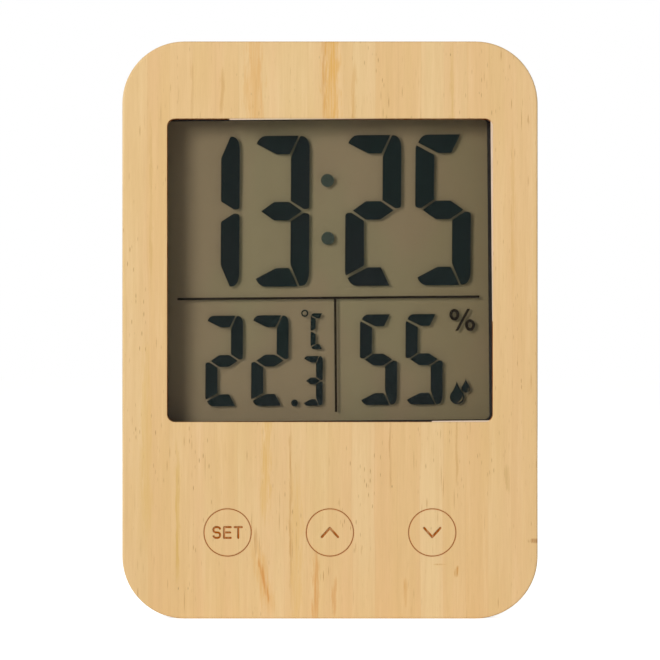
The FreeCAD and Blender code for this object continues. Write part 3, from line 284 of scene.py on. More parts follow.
# The kerf's middle lies this far outside a cap's edge, and the scorch reaches this far from it; mm.
KERF_MIDDLE = 0.07
SCORCH_REACH = 0.3
SCORCH_STRENGTH = 0.3


def within(look, distance, reach):
    """1 out to a little past reach, then 0."""
    return look.ramp(distance, reach, reach + 0.1, 1.0, 0.0)


def burnt_amount(look):
    """1 on the walls of the laser cuts: the window, and the kerfs round the buttons with scorched rims."""
    nearest = None
    for node in CAP_NODES:
        centre = middle(node)
        offset = look.vector("SUBTRACT", look.mm, (centre[0] / MM, 0, centre[2] / MM))
        distance = look.vector("LENGTH", look.vector("MULTIPLY", offset, (1, 0, 1)))
        nearest = distance if nearest is None else look.maths("MINIMUM", nearest, distance)
    low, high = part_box(CAP_NODES[0])
    cap_radius = (high[0] - low[0]) / 2 / MM
    below_face = look.ramp(look.maths("SUBTRACT", look.y, FRONT_Y / MM), 0.02, 0.08)
    near_button = within(look, nearest, cap_radius + 0.35)
    across = look.maths("ABSOLUTE", look.maths("SUBTRACT", look.x, CENTRE_X / MM))
    up = look.maths("ABSOLUTE", look.maths("SUBTRACT", look.z, WINDOW_MIDDLE))
    in_width = within(look, across, WINDOW_WIDTH / 2 + 0.05)
    in_height = within(look, up, WINDOW_HEIGHT / 2 + 0.05)
    near_cut = look.maths("MAXIMUM", near_button, look.maths("MULTIPLY", in_width, in_height))
    from_kerf = look.maths("ABSOLUTE", look.maths("SUBTRACT", nearest, cap_radius + KERF_MIDDLE))
    scorch = look.ramp(from_kerf, 0.08, SCORCH_REACH, SCORCH_STRENGTH, 0.0)
    grain = look.noise((1.6, 0.2, 0.25), detail=2.0, shift=(4, 0, 4))
    taken = look.maths("MULTIPLY", near_cut, look.ramp(grain, 0.35, 0.6, 0.65, 1.0))
    return look.maths("MAXIMUM", look.maths("MULTIPLY", below_face, taken), scorch)


def bamboo():
    """Upright slats of bamboo glued side by side: slat tones, fibres, pores, marks and laser-burnt cuts."""
    look = Look("bamboo")
    wander = look.noise((0.01, 0.01, 0.018), detail=2.0, shift=(0, 0, 3))
    shifted = look.maths("ADD", look.x, look.ramp(wander, 0.3, 0.7, -0.6, 0.6))
    slats = look.maths("DIVIDE", shifted, STRIP_WIDTH)
    number = look.maths("FLOOR", slats)
    random = look.node("ShaderNodeTexWhiteNoise", {"W": number}, noise_dimensions="1D").outputs["Value"]
    along = look.node("ShaderNodeCombineXYZ", {"X": look.maths("MULTIPLY", number, 7.31),
                                               "Z": look.maths("MULTIPLY", look.z, 0.022)}).outputs[0]
    tone = look.node("ShaderNodeTexNoise", {"Vector": along, "Scale": 1.0, "Detail": 2.0}).outputs["Fac"]
    broad = look.noise((0.16, 0.16, 0.006), detail=3.0, roughness=0.6, shift=(5, 0, 0))
    fibres = look.noise((0.9, 0.9, 0.035), detail=5.0, roughness=0.6, shift=(0, 7, 0))
    fine = look.noise((5.0, 3.0, 0.2), detail=3.0, roughness=0.6, shift=(3, 0, 5))
    colour = look.mix(look.ramp(random, 0.0, 1.0), linear(*WOOD_PALE), linear(*WOOD_WARM))
    colour = look.mix(look.ramp(tone, 0.4, 0.7, 0.0, 0.55), colour, linear(*WOOD_OCHRE))
    colour = look.mix(look.ramp(broad, 0.4, 0.7, 0.0, 0.5, smooth=True), colour, linear(*WOOD_PINK))
    colour = look.mix(look.ramp(fibres, 0.45, 0.75, 0.0, 0.26), colour, linear(*WOOD_FIBRE))
    colour = look.mix(look.ramp(fibres, 0.3, 0.44, 0.25, 0.0), colour, linear(*WOOD_LIGHT))
    colour = look.mix(look.ramp(fine, 0.45, 0.75, 0.0, 0.22), colour, linear(*WOOD_FIBRE))
    seam = look.maths("ABSOLUTE", look.maths("SUBTRACT", look.maths("FRACT", slats), 0.5))
    colour = look.mix(look.ramp(seam, 0.475, 0.498, 0.0, 0.2), colour, linear(*WOOD_FIBRE))
    pores = [pore_amount(look, seed, *kind[:-1]) for seed, kind in enumerate(PORES, 1)]
    for amount, kind in zip(pores, PORES):
        colour = look.mix(amount, colour, linear(*kind[-1]))
    for mark in GRAIN_MARKS:
        colour = grain_mark(look, colour, mark)
    burnt = burnt_amount(look)
    colour = look.mix(burnt, colour, linear(*BURNT))
    height = look.maths("ADD", fibres, look.maths("MULTIPLY", fine, 0.5))
    height = look.maths("SUBTRACT", height, pores[0])
    normal = look.bump(height, WOOD_RELIEF, 0.4, rounding=0.3 * MM)
    return look.done(look.surface(colour, look.ramp(fibres, 0.3, 0.8, 0.45, 0.6), normal,
                                  specular=look.ramp(burnt, 0.0, 1.0, WOOD_SPECULAR, 0.0)))


def charred_rim():
    """Orange-brown charred wood, with no shine."""
    look = Look("charred_rim")
    patches = look.noise((0.7, 0.7, 0.7), detail=3.0)
    colour = look.mix(look.ramp(patches, 0.35, 0.65), linear(*BURNT_RIM), linear(*BURNT))
    return look.done(look.surface(colour, 0.8, look.bump(patches, 0.02 * MM, 0.4), specular=0.0))


def painted_edge_highlight():
    """Painted highlight: a pale wood colour for the window's edge where it catches the light."""
    look = Look("painted_edge_highlight")
    fibres = look.noise((3.0, 3.0, 0.4), detail=3.0)
    colour = look.mix(look.ramp(fibres, 0.3, 0.7), linear(226, 204, 182), linear(216, 190, 160))
    return look.done(look.surface(colour, 0.7, look.bump(fibres, 0.02 * MM, 0.4)))


# ---------------------------------------------------------------- plastics, films and glass

MOTTLE = 0.97    # how bright the darker patches of a plastic are, against the rest


def plastic(name, colour, roughness=0.45, relief=0.02, fineness=4.0):
    """Moulded plastic with slightly rounded edges; relief is its grain's depth in mm."""
    look = Look(name)
    mottle = look.noise((0.05, 0.05, 0.05), detail=2.0)
    texture = look.noise((fineness, fineness, fineness), detail=3.0, roughness=0.6)
    darker = tuple(level * MOTTLE for level in colour)
    tint = look.mix(look.ramp(mottle, 0.35, 0.65), colour, darker)
    rough = look.ramp(texture, 0.3, 0.7, roughness - 0.05, roughness + 0.08)
    return look.done(look.surface(tint, rough, look.bump(texture, relief * MM, 0.6, rounding=0.2 * MM)))


def clear(name, tint, reflect, roughness=0.2, ior=1.45):
    """A clear sheet: light goes straight through, tinted; only its front reflects, and more at a slant."""
    look = Look(name)
    smear = look.noise((0.3, 0.3, 0.1), detail=3.0)
    rough = look.ramp(smear, 0.3, 0.8, roughness, roughness * 1.5)
    shine = look.node("ShaderNodeBsdfGlossy", {"Roughness": rough, "Color": (1, 1, 1)}).outputs["BSDF"]
    slant = look.node("ShaderNodeFresnel", {"IOR": ior}).outputs["Fac"]
    back = look.node("ShaderNodeNewGeometry").outputs["Backfacing"]
    amount = look.maths("MULTIPLY", slant, reflect)
    amount = look.maths("MULTIPLY", amount, look.maths("SUBTRACT", 1.0, back))
    return look.done(look.blend(amount, look.see_through(tint), shine))


def reflector():
    """The display's grey-brown back film: faint vertical colour streaks and a darker right side."""
    look = Look("reflector")
    streaks = look.noise((0.11, 0.11, 0.012), detail=2.0, shift=(2, 0, 0))
    hue = look.noise((0.05, 0.05, 0.03), detail=2.0, shift=(8, 0, 3))
    grain = look.noise((9.0, 9.0, 9.0), detail=2.0)
    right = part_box("rear_reflector")[1][0] / MM
    colour = look.mix(look.ramp(hue, 0.4, 0.6, smooth=True), linear(153, 136, 120), linear(149, 138, 119))
    colour = look.mix(look.ramp(streaks, 0.35, 0.7, 0.0, 0.3), colour, linear(142, 126, 110))
    side = look.ramp(look.x, 0.1 * right, right, 0.0, 0.45, smooth=True)
    colour = look.mix(side, colour, linear(127, 109, 88))
    rough = look.ramp(grain, 0.3, 0.7, 0.5, 0.65)
    return look.done(look.surface(colour, rough, look.bump(grain, 0.01 * MM, 0.3), specular=0.2))


SHADOW_PASSES = 0.55
COLON_DRIVEN = 0.62
INK_SPECULAR = 0.1


def crystal(look, ink):
    """Ink that still lets some light through to the back film, so that its shadow is soft and bluish."""
    shadow = look.node("ShaderNodeLightPath").outputs["Is Shadow Ray"]
    amount = look.maths("MULTIPLY", shadow, SHADOW_PASSES)
    return look.done(look.blend(amount, ink, look.see_through(linear(205, 222, 226))))


def segment_ink():
    """Switched-on liquid crystal: nearly black, with a faint blue-green cast."""
    look = Look("segment_ink")
    cast = look.noise((0.06, 0.06, 0.04), detail=2.0, shift=(1, 0, 6))
    colour = look.mix(look.ramp(cast, 0.35, 0.65), linear(14, 26, 34), linear(6, 29, 34))
    return crystal(look, look.surface(colour, 0.6, specular=INK_SPECULAR))


def rule_ink():
    """The rules and small symbols look nearly black and a little warm."""
    look = Look("rule_ink")
    cast = look.noise((0.06, 0.06, 0.04), detail=2.0, shift=(6, 0, 1))
    colour = look.mix(look.ramp(cast, 0.35, 0.65), linear(22, 15, 9), linear(32, 23, 15))
    return crystal(look, look.surface(colour, 0.6, specular=INK_SPECULAR))


def unlit_film():
    """Where a symbol leaves the back film showing."""
    look = Look("unlit_film")
    grain = look.noise((2.0, 2.0, 2.0), detail=1.0)
    colour = look.mix(grain, linear(120, 108, 88), linear(132, 118, 96))
    return look.done(look.surface(colour, 0.6, specular=INK_SPECULAR))


def colon_ink():
    """The colon's half-driven dots let some of the back film through."""
    look = Look("colon_ink")
    cast = look.noise((0.4, 0.4, 0.4), detail=1.0)
    ink = look.surface(look.mix(cast, linear(50, 66, 66), linear(58, 74, 74)), 0.6)
    return look.done(look.blend(COLON_DRIVEN, look.see_through(linear(190, 215, 215)), ink))


def metal(name, colour, roughness):
    """Plated metal with fine drawn lines."""
    look = Look(name)
    lines = look.noise((0.6, 0.6, 6.0), detail=3.0)
    tint = look.mix(look.ramp(lines, 0.3, 0.7, 0.0, 0.25), colour, tuple(level * 0.7 for level in colour))
    rough = look.ramp(lines, 0.3, 0.7, roughness - 0.08, roughness + 0.08)
    return look.done(look.surface(tint, rough, look.bump(lines, 0.01 * MM, 0.4, rounding=0.1 * MM),
                                  metallic=1.0))


def circuit_board():
    """Green solder mask with buried copper tracks and a weave showing faintly."""
    look = Look("circuit_board")
    tracks = look.noise((0.35, 0.35, 0.35), detail=0.0, distortion=1.2)
    line = look.ramp(look.maths("ABSOLUTE", look.maths("SUBTRACT", tracks, 0.5)), 0.01, 0.03, 1.0, 0.0)
    weave = look.noise((2.0, 2.0, 2.0), detail=1.0)
    colour = look.mix(line, linear(20, 82, 48), linear(42, 120, 66))
    colour = look.mix(look.ramp(weave, 0.4, 0.7, 0.0, 0.2), colour, linear(14, 60, 36))
    return look.done(look.surface(colour, 0.35, look.bump(line, 0.03 * MM, 0.5, rounding=0.1 * MM)))


def layered_rubber():
    """Zebra strip: thin conductive and insulating layers side by side along its length."""
    look = Look("layered_rubber")
    wave = look.node("ShaderNodeTexWave", {"Vector": look.mm, "Scale": 1.6}, bands_direction="X")
    layers = wave.outputs["Fac"]
    colour = look.mix(layers, linear(40, 44, 50), linear(150, 168, 190))
    return look.done(look.surface(colour, 0.55, look.bump(layers, 0.02 * MM, 0.3)))


def foam():
    """Black closed-cell foam."""
    look = Look("foam")
    cells = look.node("ShaderNodeTexVoronoi", {"Vector": look.mm, "Scale": 5.0}).outputs["Distance"]
    colour = look.mix(look.ramp(cells, 0.0, 0.6), linear(14, 9, 5), linear(26, 19, 13))
    return look.done(look.surface(colour, 0.9, look.bump(cells, 0.06 * MM, 0.7)))


def jacket():
    """A plain dry cell's blue-grey metallic sleeve, a little scuffed."""
    look = Look("jacket")
    lines = look.noise((0.05, 6.0, 6.0), detail=2.0)
    scuffs = look.noise((0.4, 1.5, 1.5), detail=4.0, roughness=0.7)
    colour = look.mix(look.ramp(lines, 0.3, 0.7, 0.0, 0.2), linear(66, 84, 108), linear(50, 64, 84))
    rough = look.ramp(scuffs, 0.3, 0.7, 0.22, 0.4)
    return look.done(look.surface(colour, rough, look.bump(scuffs, 0.01 * MM, 0.4), metallic=0.6))


# ---------------------------------------------------------------- finishes on the CAD nodes

def dress_nodes():
    """Gives its material to every CAD node but the gasket, which window_surround() draws anew."""
    wood = bamboo()
    for node in ("front_panel",) + CAP_NODES:
        wear(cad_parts[node], wood)
    white = plastic("case_plastic", linear(236, 235, 230), 0.42)
    inner = plastic("inner_plastic", linear(226, 226, 220), 0.38)
    black = plastic("black_plastic", linear(26, 26, 28), 0.4)
    zinc = metal("zinc", linear(196, 198, 200), 0.3)
    nickel = metal("nickel", linear(200, 196, 186), 0.28)
    finishes = {
        white: ("front_housing", "rear_housing", "battery_cover", "stand_leg"),
        inner: ("display_bracket", "set_button_plunger", "up_button_plunger", "down_button_plunger"),
        black: ("set_switch_body", "up_switch_body", "down_switch_body"),
        plastic("actuator_plastic", linear(52, 50, 48), 0.35): (
            "set_switch_actuator", "up_switch_actuator", "down_switch_actuator"),
        plastic("tape", linear(222, 214, 190), 0.3, 0.01, 1.5): ("panel_adhesive",),
        plastic("cured_seal", linear(205, 200, 184), 0.4, 0.01): ("lcd_edge_seal",),
        plastic("sensor_plastic", linear(214, 220, 228), 0.4): ("humidity_sensor",),
        plastic("thermistor_resin", linear(26, 40, 30), 0.2, 0.02, 1.0): ("thermistor",),
        plastic("resin_blob", linear(16, 16, 17), 0.18, 0.05, 0.5): ("controller_blob",),
        plastic("capacitor_ceramic", linear(160, 126, 92), 0.5): ("chip_capacitors",),
        plastic("resistor_ceramic", linear(24, 24, 26), 0.35): ("chip_resistors",),
        plastic("red_insulation", linear(186, 30, 24), 0.3, 0.01, 1.0): ("red_lead",),
        plastic("black_insulation", linear(20, 20, 22), 0.3, 0.01, 1.0): ("black_lead",),
        zinc: ("housing_screws", "board_screws", "bracket_screws"),
        nickel: ("positive_contact", "negative_contact", "bridge_contact"),
        metal("tin", linear(204, 204, 200), 0.35): ("switch_terminals", "clock_crystal"),
        jacket(): ("aaa_cell_upper", "aaa_cell_lower"),
        circuit_board(): ("main_board",),
        layered_rubber(): ("zebra_strip",),
        reflector(): ("rear_reflector",),
        clear("display_glass", (0.985, 0.995, 0.985), 0.05): ("lcd_front_glass", "lcd_rear_glass"),
        clear("polariser", (0.95, 0.925, 0.88), 0.05): ("front_polariser",),
        clear("lens", (0.985, 0.99, 0.985), 1.0, 0.15, 1.25): ("display_lens",),
    }
    for material, nodes in finishes.items():
        for node in nodes:
            wear(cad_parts[node], material)


# ---------------------------------------------------------------- outlines, and plates made from them

def curve(start, control, end, steps=8):
    """Points of a quadratic curve after its start, up to and including its end."""
    points = []
    for step in range(1, steps + 1):
        t = step / steps
        points.append(tuple((1 - t) ** 2 * a + 2 * t * (1 - t) * b + t * t * c
                            for a, b, c in zip(start, control, end)))
    return points


def circle_points(x, z, across, up=None, steps=40):
    """A circle, or an oval where up is given as well; both are radii."""
    up = across if up is None else up
    return [(x + across * math.cos(2 * math.pi * n / steps), z + up * math.sin(2 * math.pi * n / steps))
            for n in range(steps)]


def rectangle(left, bottom, right, top):
    """Four corners, from the lower left one round."""
    return [(left, bottom), (right, bottom), (right, top), (left, top)]


def rounded(left, bottom, right, top, radius, steps=8):
    """A rectangle with rounded corners, from its lower right corner round."""
    points = []
    corners = ((right - radius, bottom + radius), (right - radius, top - radius),
               (left + radius, top - radius), (left + radius, bottom + radius))
    for quarter, (x, z) in enumerate(corners):
        for step in range(steps + 1):
            angle = math.pi / 2 * (quarter - 1 + step / steps)
            points.append((x + radius * math.cos(angle), z + radius * math.sin(angle)))
    return points


SEGMENT_THICKNESS = 0.05 * MM
SEGMENT_Y = middle("lcd_edge_seal")[1]
LCD_LEAN = math.radians(0.48)    # how far the display is turned in its window


def leaned(x, z, y, lean):
    """A point turned by lean about the display's middle; x and z in mm, y in metres."""
    pivot = middle("front_polariser")[2]
    across = x * MM
    up = z * MM - pivot
    return (CENTRE_X + across * math.cos(lean) - up * math.sin(lean), y,
            pivot + across * math.sin(lean) + up * math.cos(lean))


def join(build, first, second):
    """A band of faces between two rings of as many points."""
    for n in range(len(first)):
        m = (n + 1) % len(first)
        build.faces.new((first[n], first[m], second[m], second[n]))


def plate(name, outlines, material, holes=(), y=SEGMENT_Y, thickness=SEGMENT_THICKNESS,
          body="case", lean=LCD_LEAN):
    """A thin plate per outline, with a hole where one is given; y and thickness are in metres."""
    mesh = bpy.data.meshes.new(name)
    build = bmesh.new()
    for number, outline in enumerate(outlines):
        loops = [outline] + list(holes[number:number + 1])
        rings = []
        for loop in loops:
            for side in (-1, 1):
                level = y + side * thickness / 2
                rings.append([build.verts.new(leaned(x, z, level, lean)) for x, z in loop])
        for front, back in zip(rings[::2], rings[1::2]):
            join(build, front, back)
        if len(loops) == 1:
            build.faces.new(rings[0])
            build.faces.new(rings[1])
        else:
            join(build, rings[0], rings[2])
            join(build, rings[1], rings[3])
    bmesh.ops.triangulate(build, faces=[face for face in build.faces if len(face.verts) > 4])
    bmesh.ops.recalc_face_normals(build, faces=build.faces)
    build.to_mesh(mesh)
    build.free()
    obj = bpy.data.objects.new(name, mesh)
    bpy.context.scene.collection.objects.link(obj)
    mesh.materials.append(material)
    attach(obj, body)
    return obj


# ---------------------------------------------------------------- the display's segments and symbols

# Digits of four sizes: width, height and stroke.
BIG = (12.85, 34.8, 4.3)
SMALL = (8.6, 20.9, 2.75)
TINY = (4.5, 11.5, 1.55)
LETTER = (3.3, 8.3, 1.15)
DIGIT_SLANT = math.tan(math.radians(0.8))
GAP_CLOSING = 0.014    # how far a segment's edges move out to thin the gaps, as a part of its stroke
LIT = {"1": "bc", "2": "abged", "3": "abgcd", "5": "afgcd", "C": "afed"}

# Name, symbol and edge: the right edge of the time's digits, the left edge of the others.
BIG_DIGITS = (("hour_tens", "1", -20.75), ("hour_units", "3", -4.65),
              ("minute_tens", "2", 16.5), ("minute_units", "5", 32.6))
SMALL_DIGITS = (("degree_tens", "2", -28.9), ("degree_units", "2", -18.35),
                ("humidity_tens", "5", 6.7), ("humidity_units", "5", 17.22))
BIG_FOOT = 76.1
SMALL_FOOT = 48.62
TINY_CORNER = (-6.4, 48.55)
LETTER_CORNER = (-4.6, 61.6)

COLON_X = -0.43
COLON_LEVELS = (87.15, 100.5)
COLON_RADIUS = 1.5
POINT = (-8.45, 49.25, 0.8)    # middle and radius
DEGREE = (-5.9, 69.9)
DEGREE_RADII = (0.85, 0.5)
# Rules as left, bottom, right, top.
RULE = 0.55
UPPER_RULE = (-35.25, 73.15, 34.4, 73.15 + RULE)
MIDDLE_RULE = (0.85, 47.1, 0.85 + RULE, 73.2)
# The percent sign: its rings' middles and outer and inner radii, and its bar's lower and upper end.
PERCENT_RINGS = ((28.6, 69.3), (32.2, 66.85))
RING_OUTER = (1.16, 1.36)
RING_INNER = (0.45, 0.66)
PERCENT_BAR = ((29.1, 65.55), (31.9, 70.65))
BAR_HALF = 0.34
# Middle of the round body, its radius, the height of the tip, and the glint's radii and angles.
DROPS = {
    "humidity_drop_large": (29.05, 50.3, 1.65, 54.0, (1.3, 1.05, -100, 15)),
    "humidity_drop_small": (31.1, 52.3, 1.0, 54.6, (0.75, 0.58, -70, 15)),
}


def upside_down(outline, height):
    """A segment of the digit's upper half, turned over to its lower half."""
    return [(x, height - z) for x, z in outline]


def segment_shapes(width, height, stroke):
    """The seven segments of one digit, each an outline of (x, z) from the digit's lower left corner."""
    mid = height / 2
    tip = (0.045 * width, height - 0.42 * stroke)
    shoulder = (0.22 * width, height)
    top = [tip] + curve(tip, (0.11 * width, height), shoulder)
    top += [(0.80 * width, height), (0.64 * width, height - stroke), (0.41 * width, height - stroke)]

    start = (0.838 * width, height - 0.02 * stroke)
    side = (width, height - 0.68 * stroke)
    foot = (width, mid + 0.26 * stroke)
    right = [start] + curve(start, (0.985 * width, height), side) + [foot]
    right += curve(foot, (width, mid + 0.12 * stroke), (0.905 * width, mid + 0.12 * stroke), 4)
    right += [(width - stroke, mid + 0.57 * stroke), (width - stroke, height - 1.2 * stroke)]

    shoulder = (0.105 * width, mid + 0.13 * stroke)
    left = [(0.012 * width, height - 0.58 * stroke), (1.02 * stroke, height - 1.12 * stroke),
            (stroke, mid + 0.58 * stroke), shoulder]
    left += curve(shoulder, (0.0, mid + 0.1 * stroke), (0.0, mid + 0.28 * stroke), 4)
    left += [(0.0, height - 0.72 * stroke)]

    bar = [(0.135 * width, mid), (0.37 * width, mid + 0.5 * stroke), (0.635 * width, mid + 0.5 * stroke),
           (0.865 * width, mid), (0.625 * width, mid - 0.5 * stroke), (0.37 * width, mid - 0.5 * stroke)]
    return {"a": top, "b": right, "c": upside_down(right, height), "d": upside_down(top, height),
            "e": upside_down(left, height), "f": left, "g": bar}


def spread(outline, reach):
    """The outline moved outwards by reach."""
    moved = []
    turning = sum(a[0] * b[1] - b[0] * a[1] for a, b in zip(outline, outline[1:] + outline[:1]))
    side = 1 if turning > 0 else -1
    for n, (x, z) in enumerate(outline):
        before = outline[n - 1]
        after = outline[(n + 1) % len(outline)]
        along = (after[0] - before[0], after[1] - before[1])
        length = math.hypot(*along)
        moved.append((x + side * reach * along[1] / length, z - side * reach * along[0] / length))
    return moved


def digit(name, symbol, corner, size, material):
    """One lit digit; corner is its lower left one, and size is its width, height and stroke."""
    left, bottom = corner
    width, height, stroke = size
    reach = GAP_CLOSING * stroke
    shapes = segment_shapes(width - 2 * reach, height - 2 * reach, stroke - 2 * reach)
    outlines = []
    for letter in LIT[symbol]:
        outline = spread(shapes[letter], reach)
        outlines.append([(left + reach + x + (z - height / 2) * DIGIT_SLANT, bottom + reach + z)
                         for x, z in outline])
    plate(name, outlines, material)


DROP_STEPS = 36
DROP_START = 150    # degrees
DROP_SWEEP = 240


def teardrop(x, z, radius, tip):
    """A drop: a round body whose sides run up to a point at height tip."""
    points = []
    for n in range(DROP_STEPS + 1):
        angle = math.radians(DROP_START + DROP_SWEEP * n / DROP_STEPS)
        points.append((x + radius * math.cos(angle), z + radius * math.sin(angle)))
    points += curve(points[-1], (x + 0.25 * radius, z + 1.25 * radius), (x, tip), 6)
    points += curve((x, tip), (x - 0.25 * radius, z + 1.25 * radius), points[0], 6)[:-1]
    return points


def crescent(x, z, outer, inner, start, end, steps=14):
    """A curved sliver between two radii that narrows to points at its start and end angles."""
    angles = [math.radians(start + (end - start) * n / steps) for n in range(steps + 1)]
    points = [(x + outer * math.cos(angle), z + outer * math.sin(angle)) for angle in angles]
    for n in range(steps - 1, 0, -1):
        bulge = math.sin(math.pi * n / steps)
        radius = outer - (outer - inner) * bulge
        points.append((x + radius * math.cos(angles[n]), z + radius * math.sin(angles[n])))
    return points


def display():
    """The lit digits, the rules between them and the small symbols, as plates inside the display's cell."""
    ink = segment_ink()
    dark = rule_ink()
    for name, symbol, right in BIG_DIGITS:
        digit(name, symbol, (right - BIG[0], BIG_FOOT), BIG, ink)
    plate("colon", [circle_points(COLON_X, z, COLON_RADIUS) for z in COLON_LEVELS], colon_ink())
    for name, symbol, left in SMALL_DIGITS:
        digit(name, symbol, (left, SMALL_FOOT), SMALL, ink)
    digit("degree_tenths", "3", TINY_CORNER, TINY, ink)
    digit("celsius_letter", "C", LETTER_CORNER, LETTER, ink)
    plate("decimal_point", [circle_points(*POINT)], ink)
    outer, inner = [circle_points(*DEGREE, radius) for radius in DEGREE_RADII]
    plate("degree_ring", [outer], ink, [inner])
    plate("upper_rule", [rectangle(*UPPER_RULE)], dark)
    plate("middle_rule", [rectangle(*MIDDLE_RULE)], dark)
    rings = [circle_points(*place, *RING_OUTER) for place in PERCENT_RINGS]
    holes = [circle_points(*place, *RING_INNER) for place in PERCENT_RINGS]
    plate("percent_rings", rings, dark, holes)
    (foot, low), (head, high) = PERCENT_BAR
    bar = [(foot - BAR_HALF, low), (foot + BAR_HALF, low), (head + BAR_HALF, high), (head - BAR_HALF, high)]
    plate("percent_bar", [bar], dark)
    glints = []
    for name, (x, z, radius, tip, glint) in DROPS.items():
        plate(name, [teardrop(x, z, radius, tip)], ink)
        glints.append(crescent(x, z, *glint))
    plate("drop_glints", glints, unlit_film(), y=SEGMENT_Y - SEGMENT_THICKNESS / 2,
          thickness=SEGMENT_THICKNESS / 2)


# ---------------------------------------------------------------- button rims and window surround

# A rim's reach to either side of its cap's edge, its depth below the cap's face, and its length.
RIM_REACH = 0.12
RIM_DEPTH = 0.05
RIM_LENGTH = 0.6
RIM_STEPS = 96


def button_rims():
    """The charred skin round each cap, which keeps the laser's kerf from looking like a dark slot."""
    charred = charred_rim()
    for node in CAP_NODES:
        low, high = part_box(node)
        centre = middle(node)
        radius = (high[0] - low[0]) / 2 / MM
        outer, inner = [circle_points(centre[0] / MM, centre[2] / MM, radius + reach, steps=RIM_STEPS)
                        for reach in (RIM_REACH, -RIM_REACH)]
        level = low[1] + (RIM_DEPTH + RIM_LENGTH / 2) * MM
        plate(node.replace("cap", "rim"), [outer], charred, [inner], level, RIM_LENGTH * MM,
              body=node.replace("_cap", ""), lean=0.0)


# How far the gasket's opening reaches from the window's middle: left, bottom, right, top; mm.
GASKET_EDGES = (37.5, 34.5, 36.42, 34.67)
GASKET_BAND = 1.9
GASKET_CORNER = 1.2
# Painted highlight: pale slivers on the window's edge where it catches the light: left, bottom, right, top
# from its middle.
HIGHLIGHT_SLIVERS = ((-22.7, 34.57, 24.0, 35.3), (37.01, -12.0, 37.8, 34.2), (23.0, -35.3, 36.2, -34.62))
SLIVER_DEPTH = 0.25
SLIVER_THICKNESS = 0.3


def window_surround():
    """What shows inside the window's edge, all a little askew: the foam gasket and pale slivers of painted
    highlight on the edge.
    """
    left, bottom, right, top = GASKET_EDGES
    low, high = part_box("display_gasket")
    inner, outer = [rounded(-left - band, WINDOW_MIDDLE - bottom - band, right + band,
                            WINDOW_MIDDLE + top + band, GASKET_CORNER) for band in (0.0, GASKET_BAND)]
    gasket = plate("askew_gasket", [outer], foam(), [inner], (low[1] + high[1]) / 2,
                   high[1] - low[1])
    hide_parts("display_gasket")
    slivers = [rectangle(left, WINDOW_MIDDLE + bottom, right, WINDOW_MIDDLE + top)
               for left, bottom, right, top in HIGHLIGHT_SLIVERS]
    # Painted highlight: pale slivers where the window's edge catches the light.
    plate("window_edge_highlights", slivers, painted_edge_highlight(), y=FRONT_Y + SLIVER_DEPTH * MM,
          thickness=SLIVER_THICKNESS * MM)


# ---------------------------------------------------------------- stage, light and camera

FLOOR_GLOW = 0.72    # only the camera sees it: it keeps the floor as white as the backdrop
FLOOR_REACH = 30 * CASE_HEIGHT


def stage():
    """A pale floor under the object; the backdrop is the world's white."""
    look = Look("pale_floor")
    grain = look.noise((0.01, 0.01, 0.01), detail=2.0)
    base = look.mix(grain, (0.93, 0.93, 0.93), (0.95, 0.95, 0.95))
    floor = look.surface(base, 0.9)
    seen = look.node("ShaderNodeLightPath").outputs["Is Camera Ray"]
    strength = look.maths("MULTIPLY", seen, FLOOR_GLOW)
    glow = look.node("ShaderNodeEmission", {"Color": (1, 1, 1), "Strength": strength}).outputs[0]
    both = look.node("ShaderNodeAddShader")
    look.feed(both.inputs[0], floor)
    look.feed(both.inputs[1], glow)
    mesh = bpy.data.meshes.new("floor")
    corners = [(x, y, 0) for x, y in rectangle(-FLOOR_REACH, -FLOOR_REACH, FLOOR_REACH, FLOOR_REACH)]
    mesh.from_pydata(corners, [], [tuple(range(len(corners)))])
    mesh.materials.append(look.done(both.outputs[0]))
    obj = bpy.data.objects.new("floor", mesh)
    bpy.context.scene.collection.objects.link(obj)


# Two round lights: which way they stand from the object's middle, how far off and how wide in metres, and
# their watts.
KEY = {"direction": (-0.62, -1.0, 0.34), "distance": 2.5, "size": 1.0, "power": 43}
REAR = {"direction": (0.7, 1.0, 0.45), "distance": 1.4, "size": 0.8, "power": 6}
AMBIENT = 0.3
AMBIENT_COLOUR = (1.0, 0.96, 0.92, 1)
BACKDROP = 1.0
BACKDROP_COLOUR = (1, 1, 1, 1)


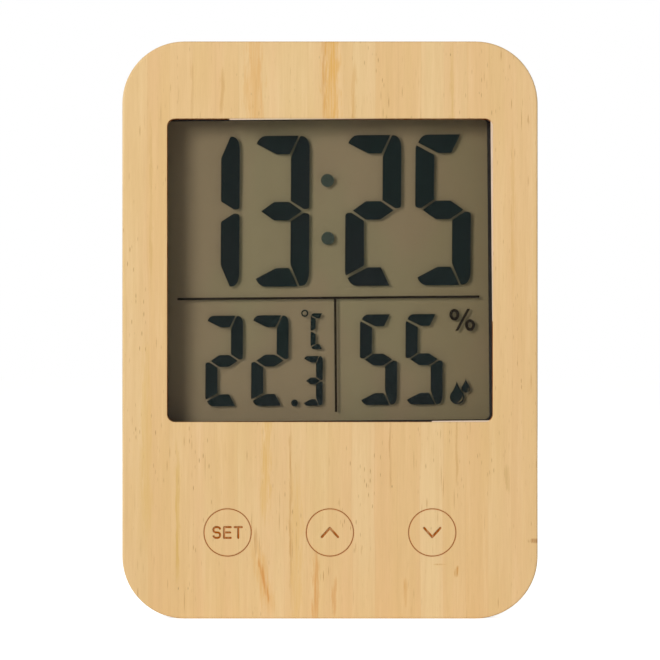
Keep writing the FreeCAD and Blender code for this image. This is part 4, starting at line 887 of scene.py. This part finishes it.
def area_light(name, direction, distance, size, power):
    data = bpy.data.lights.new(name, "AREA")
    data.shape = "DISK"
    data.size = size
    data.energy = power
    light = bpy.data.objects.new(name, data)
    bpy.context.scene.collection.objects.link(light)
    aim = Vector((CENTRE_X, 0, CASE_HEIGHT / 2))
    towards = Vector(direction).normalized()
    light.location = aim + towards * distance
    light.rotation_mode = "QUATERNION"
    light.rotation_quaternion = towards.to_track_quat("Z", "Y")


def lights():
    """A key light from the upper left, a weak one behind, and a dim world that the camera sees as white."""
    area_light("key", **KEY)
    area_light("rear", **REAR)
    world = bpy.data.worlds.new("studio")
    bpy.context.scene.world = world
    world.use_nodes = True
    tree = world.node_tree
    tree.nodes.clear()
    path = tree.nodes.new("ShaderNodeLightPath")
    mix = tree.nodes.new("ShaderNodeMixShader")
    out = tree.nodes.new("ShaderNodeOutputWorld")
    tree.links.new(path.outputs["Is Camera Ray"], mix.inputs[0])
    tree.links.new(mix.outputs[0], out.inputs["Surface"])
    for slot, strength, colour in ((1, AMBIENT, AMBIENT_COLOUR), (2, BACKDROP, BACKDROP_COLOUR)):
        background = tree.nodes.new("ShaderNodeBackground")
        background.inputs["Color"].default_value = colour
        background.inputs["Strength"].default_value = strength
        tree.links.new(background.outputs[0], mix.inputs[slot])


LENS = 200
SENSOR = 36
PICTURE_OVER_CASE = 1.14325    # the picture's height against the object's


def camera():
    """Level with the middle of the object and square to its front, through a long lens."""
    data = bpy.data.cameras.new("camera")
    data.sensor_width = SENSOR
    data.lens = LENS
    distance = CASE_HEIGHT * PICTURE_OVER_CASE * LENS / SENSOR
    cam = bpy.data.objects.new("camera", data)
    cam.location = (CENTRE_X, FRONT_Y - distance, CASE_HEIGHT / 2)
    cam.rotation_euler = Euler((math.pi / 2, 0, 0))
    bpy.context.scene.collection.objects.link(cam)
    bpy.context.scene.camera = cam


def picture_settings():
    """Colours straight to the screen, and enough bounces for light to pass the window's layers."""
    scene = bpy.context.scene
    scene.view_settings.view_transform = "Standard"
    scene.view_settings.look = "None"
    scene.cycles.transparent_max_bounces = 24
    scene.cycles.max_bounces = 10
    scene.cycles.use_denoising = True


dress_nodes()
display()
button_rims()
window_surround()
stage()
lights()
camera()
picture_settings()
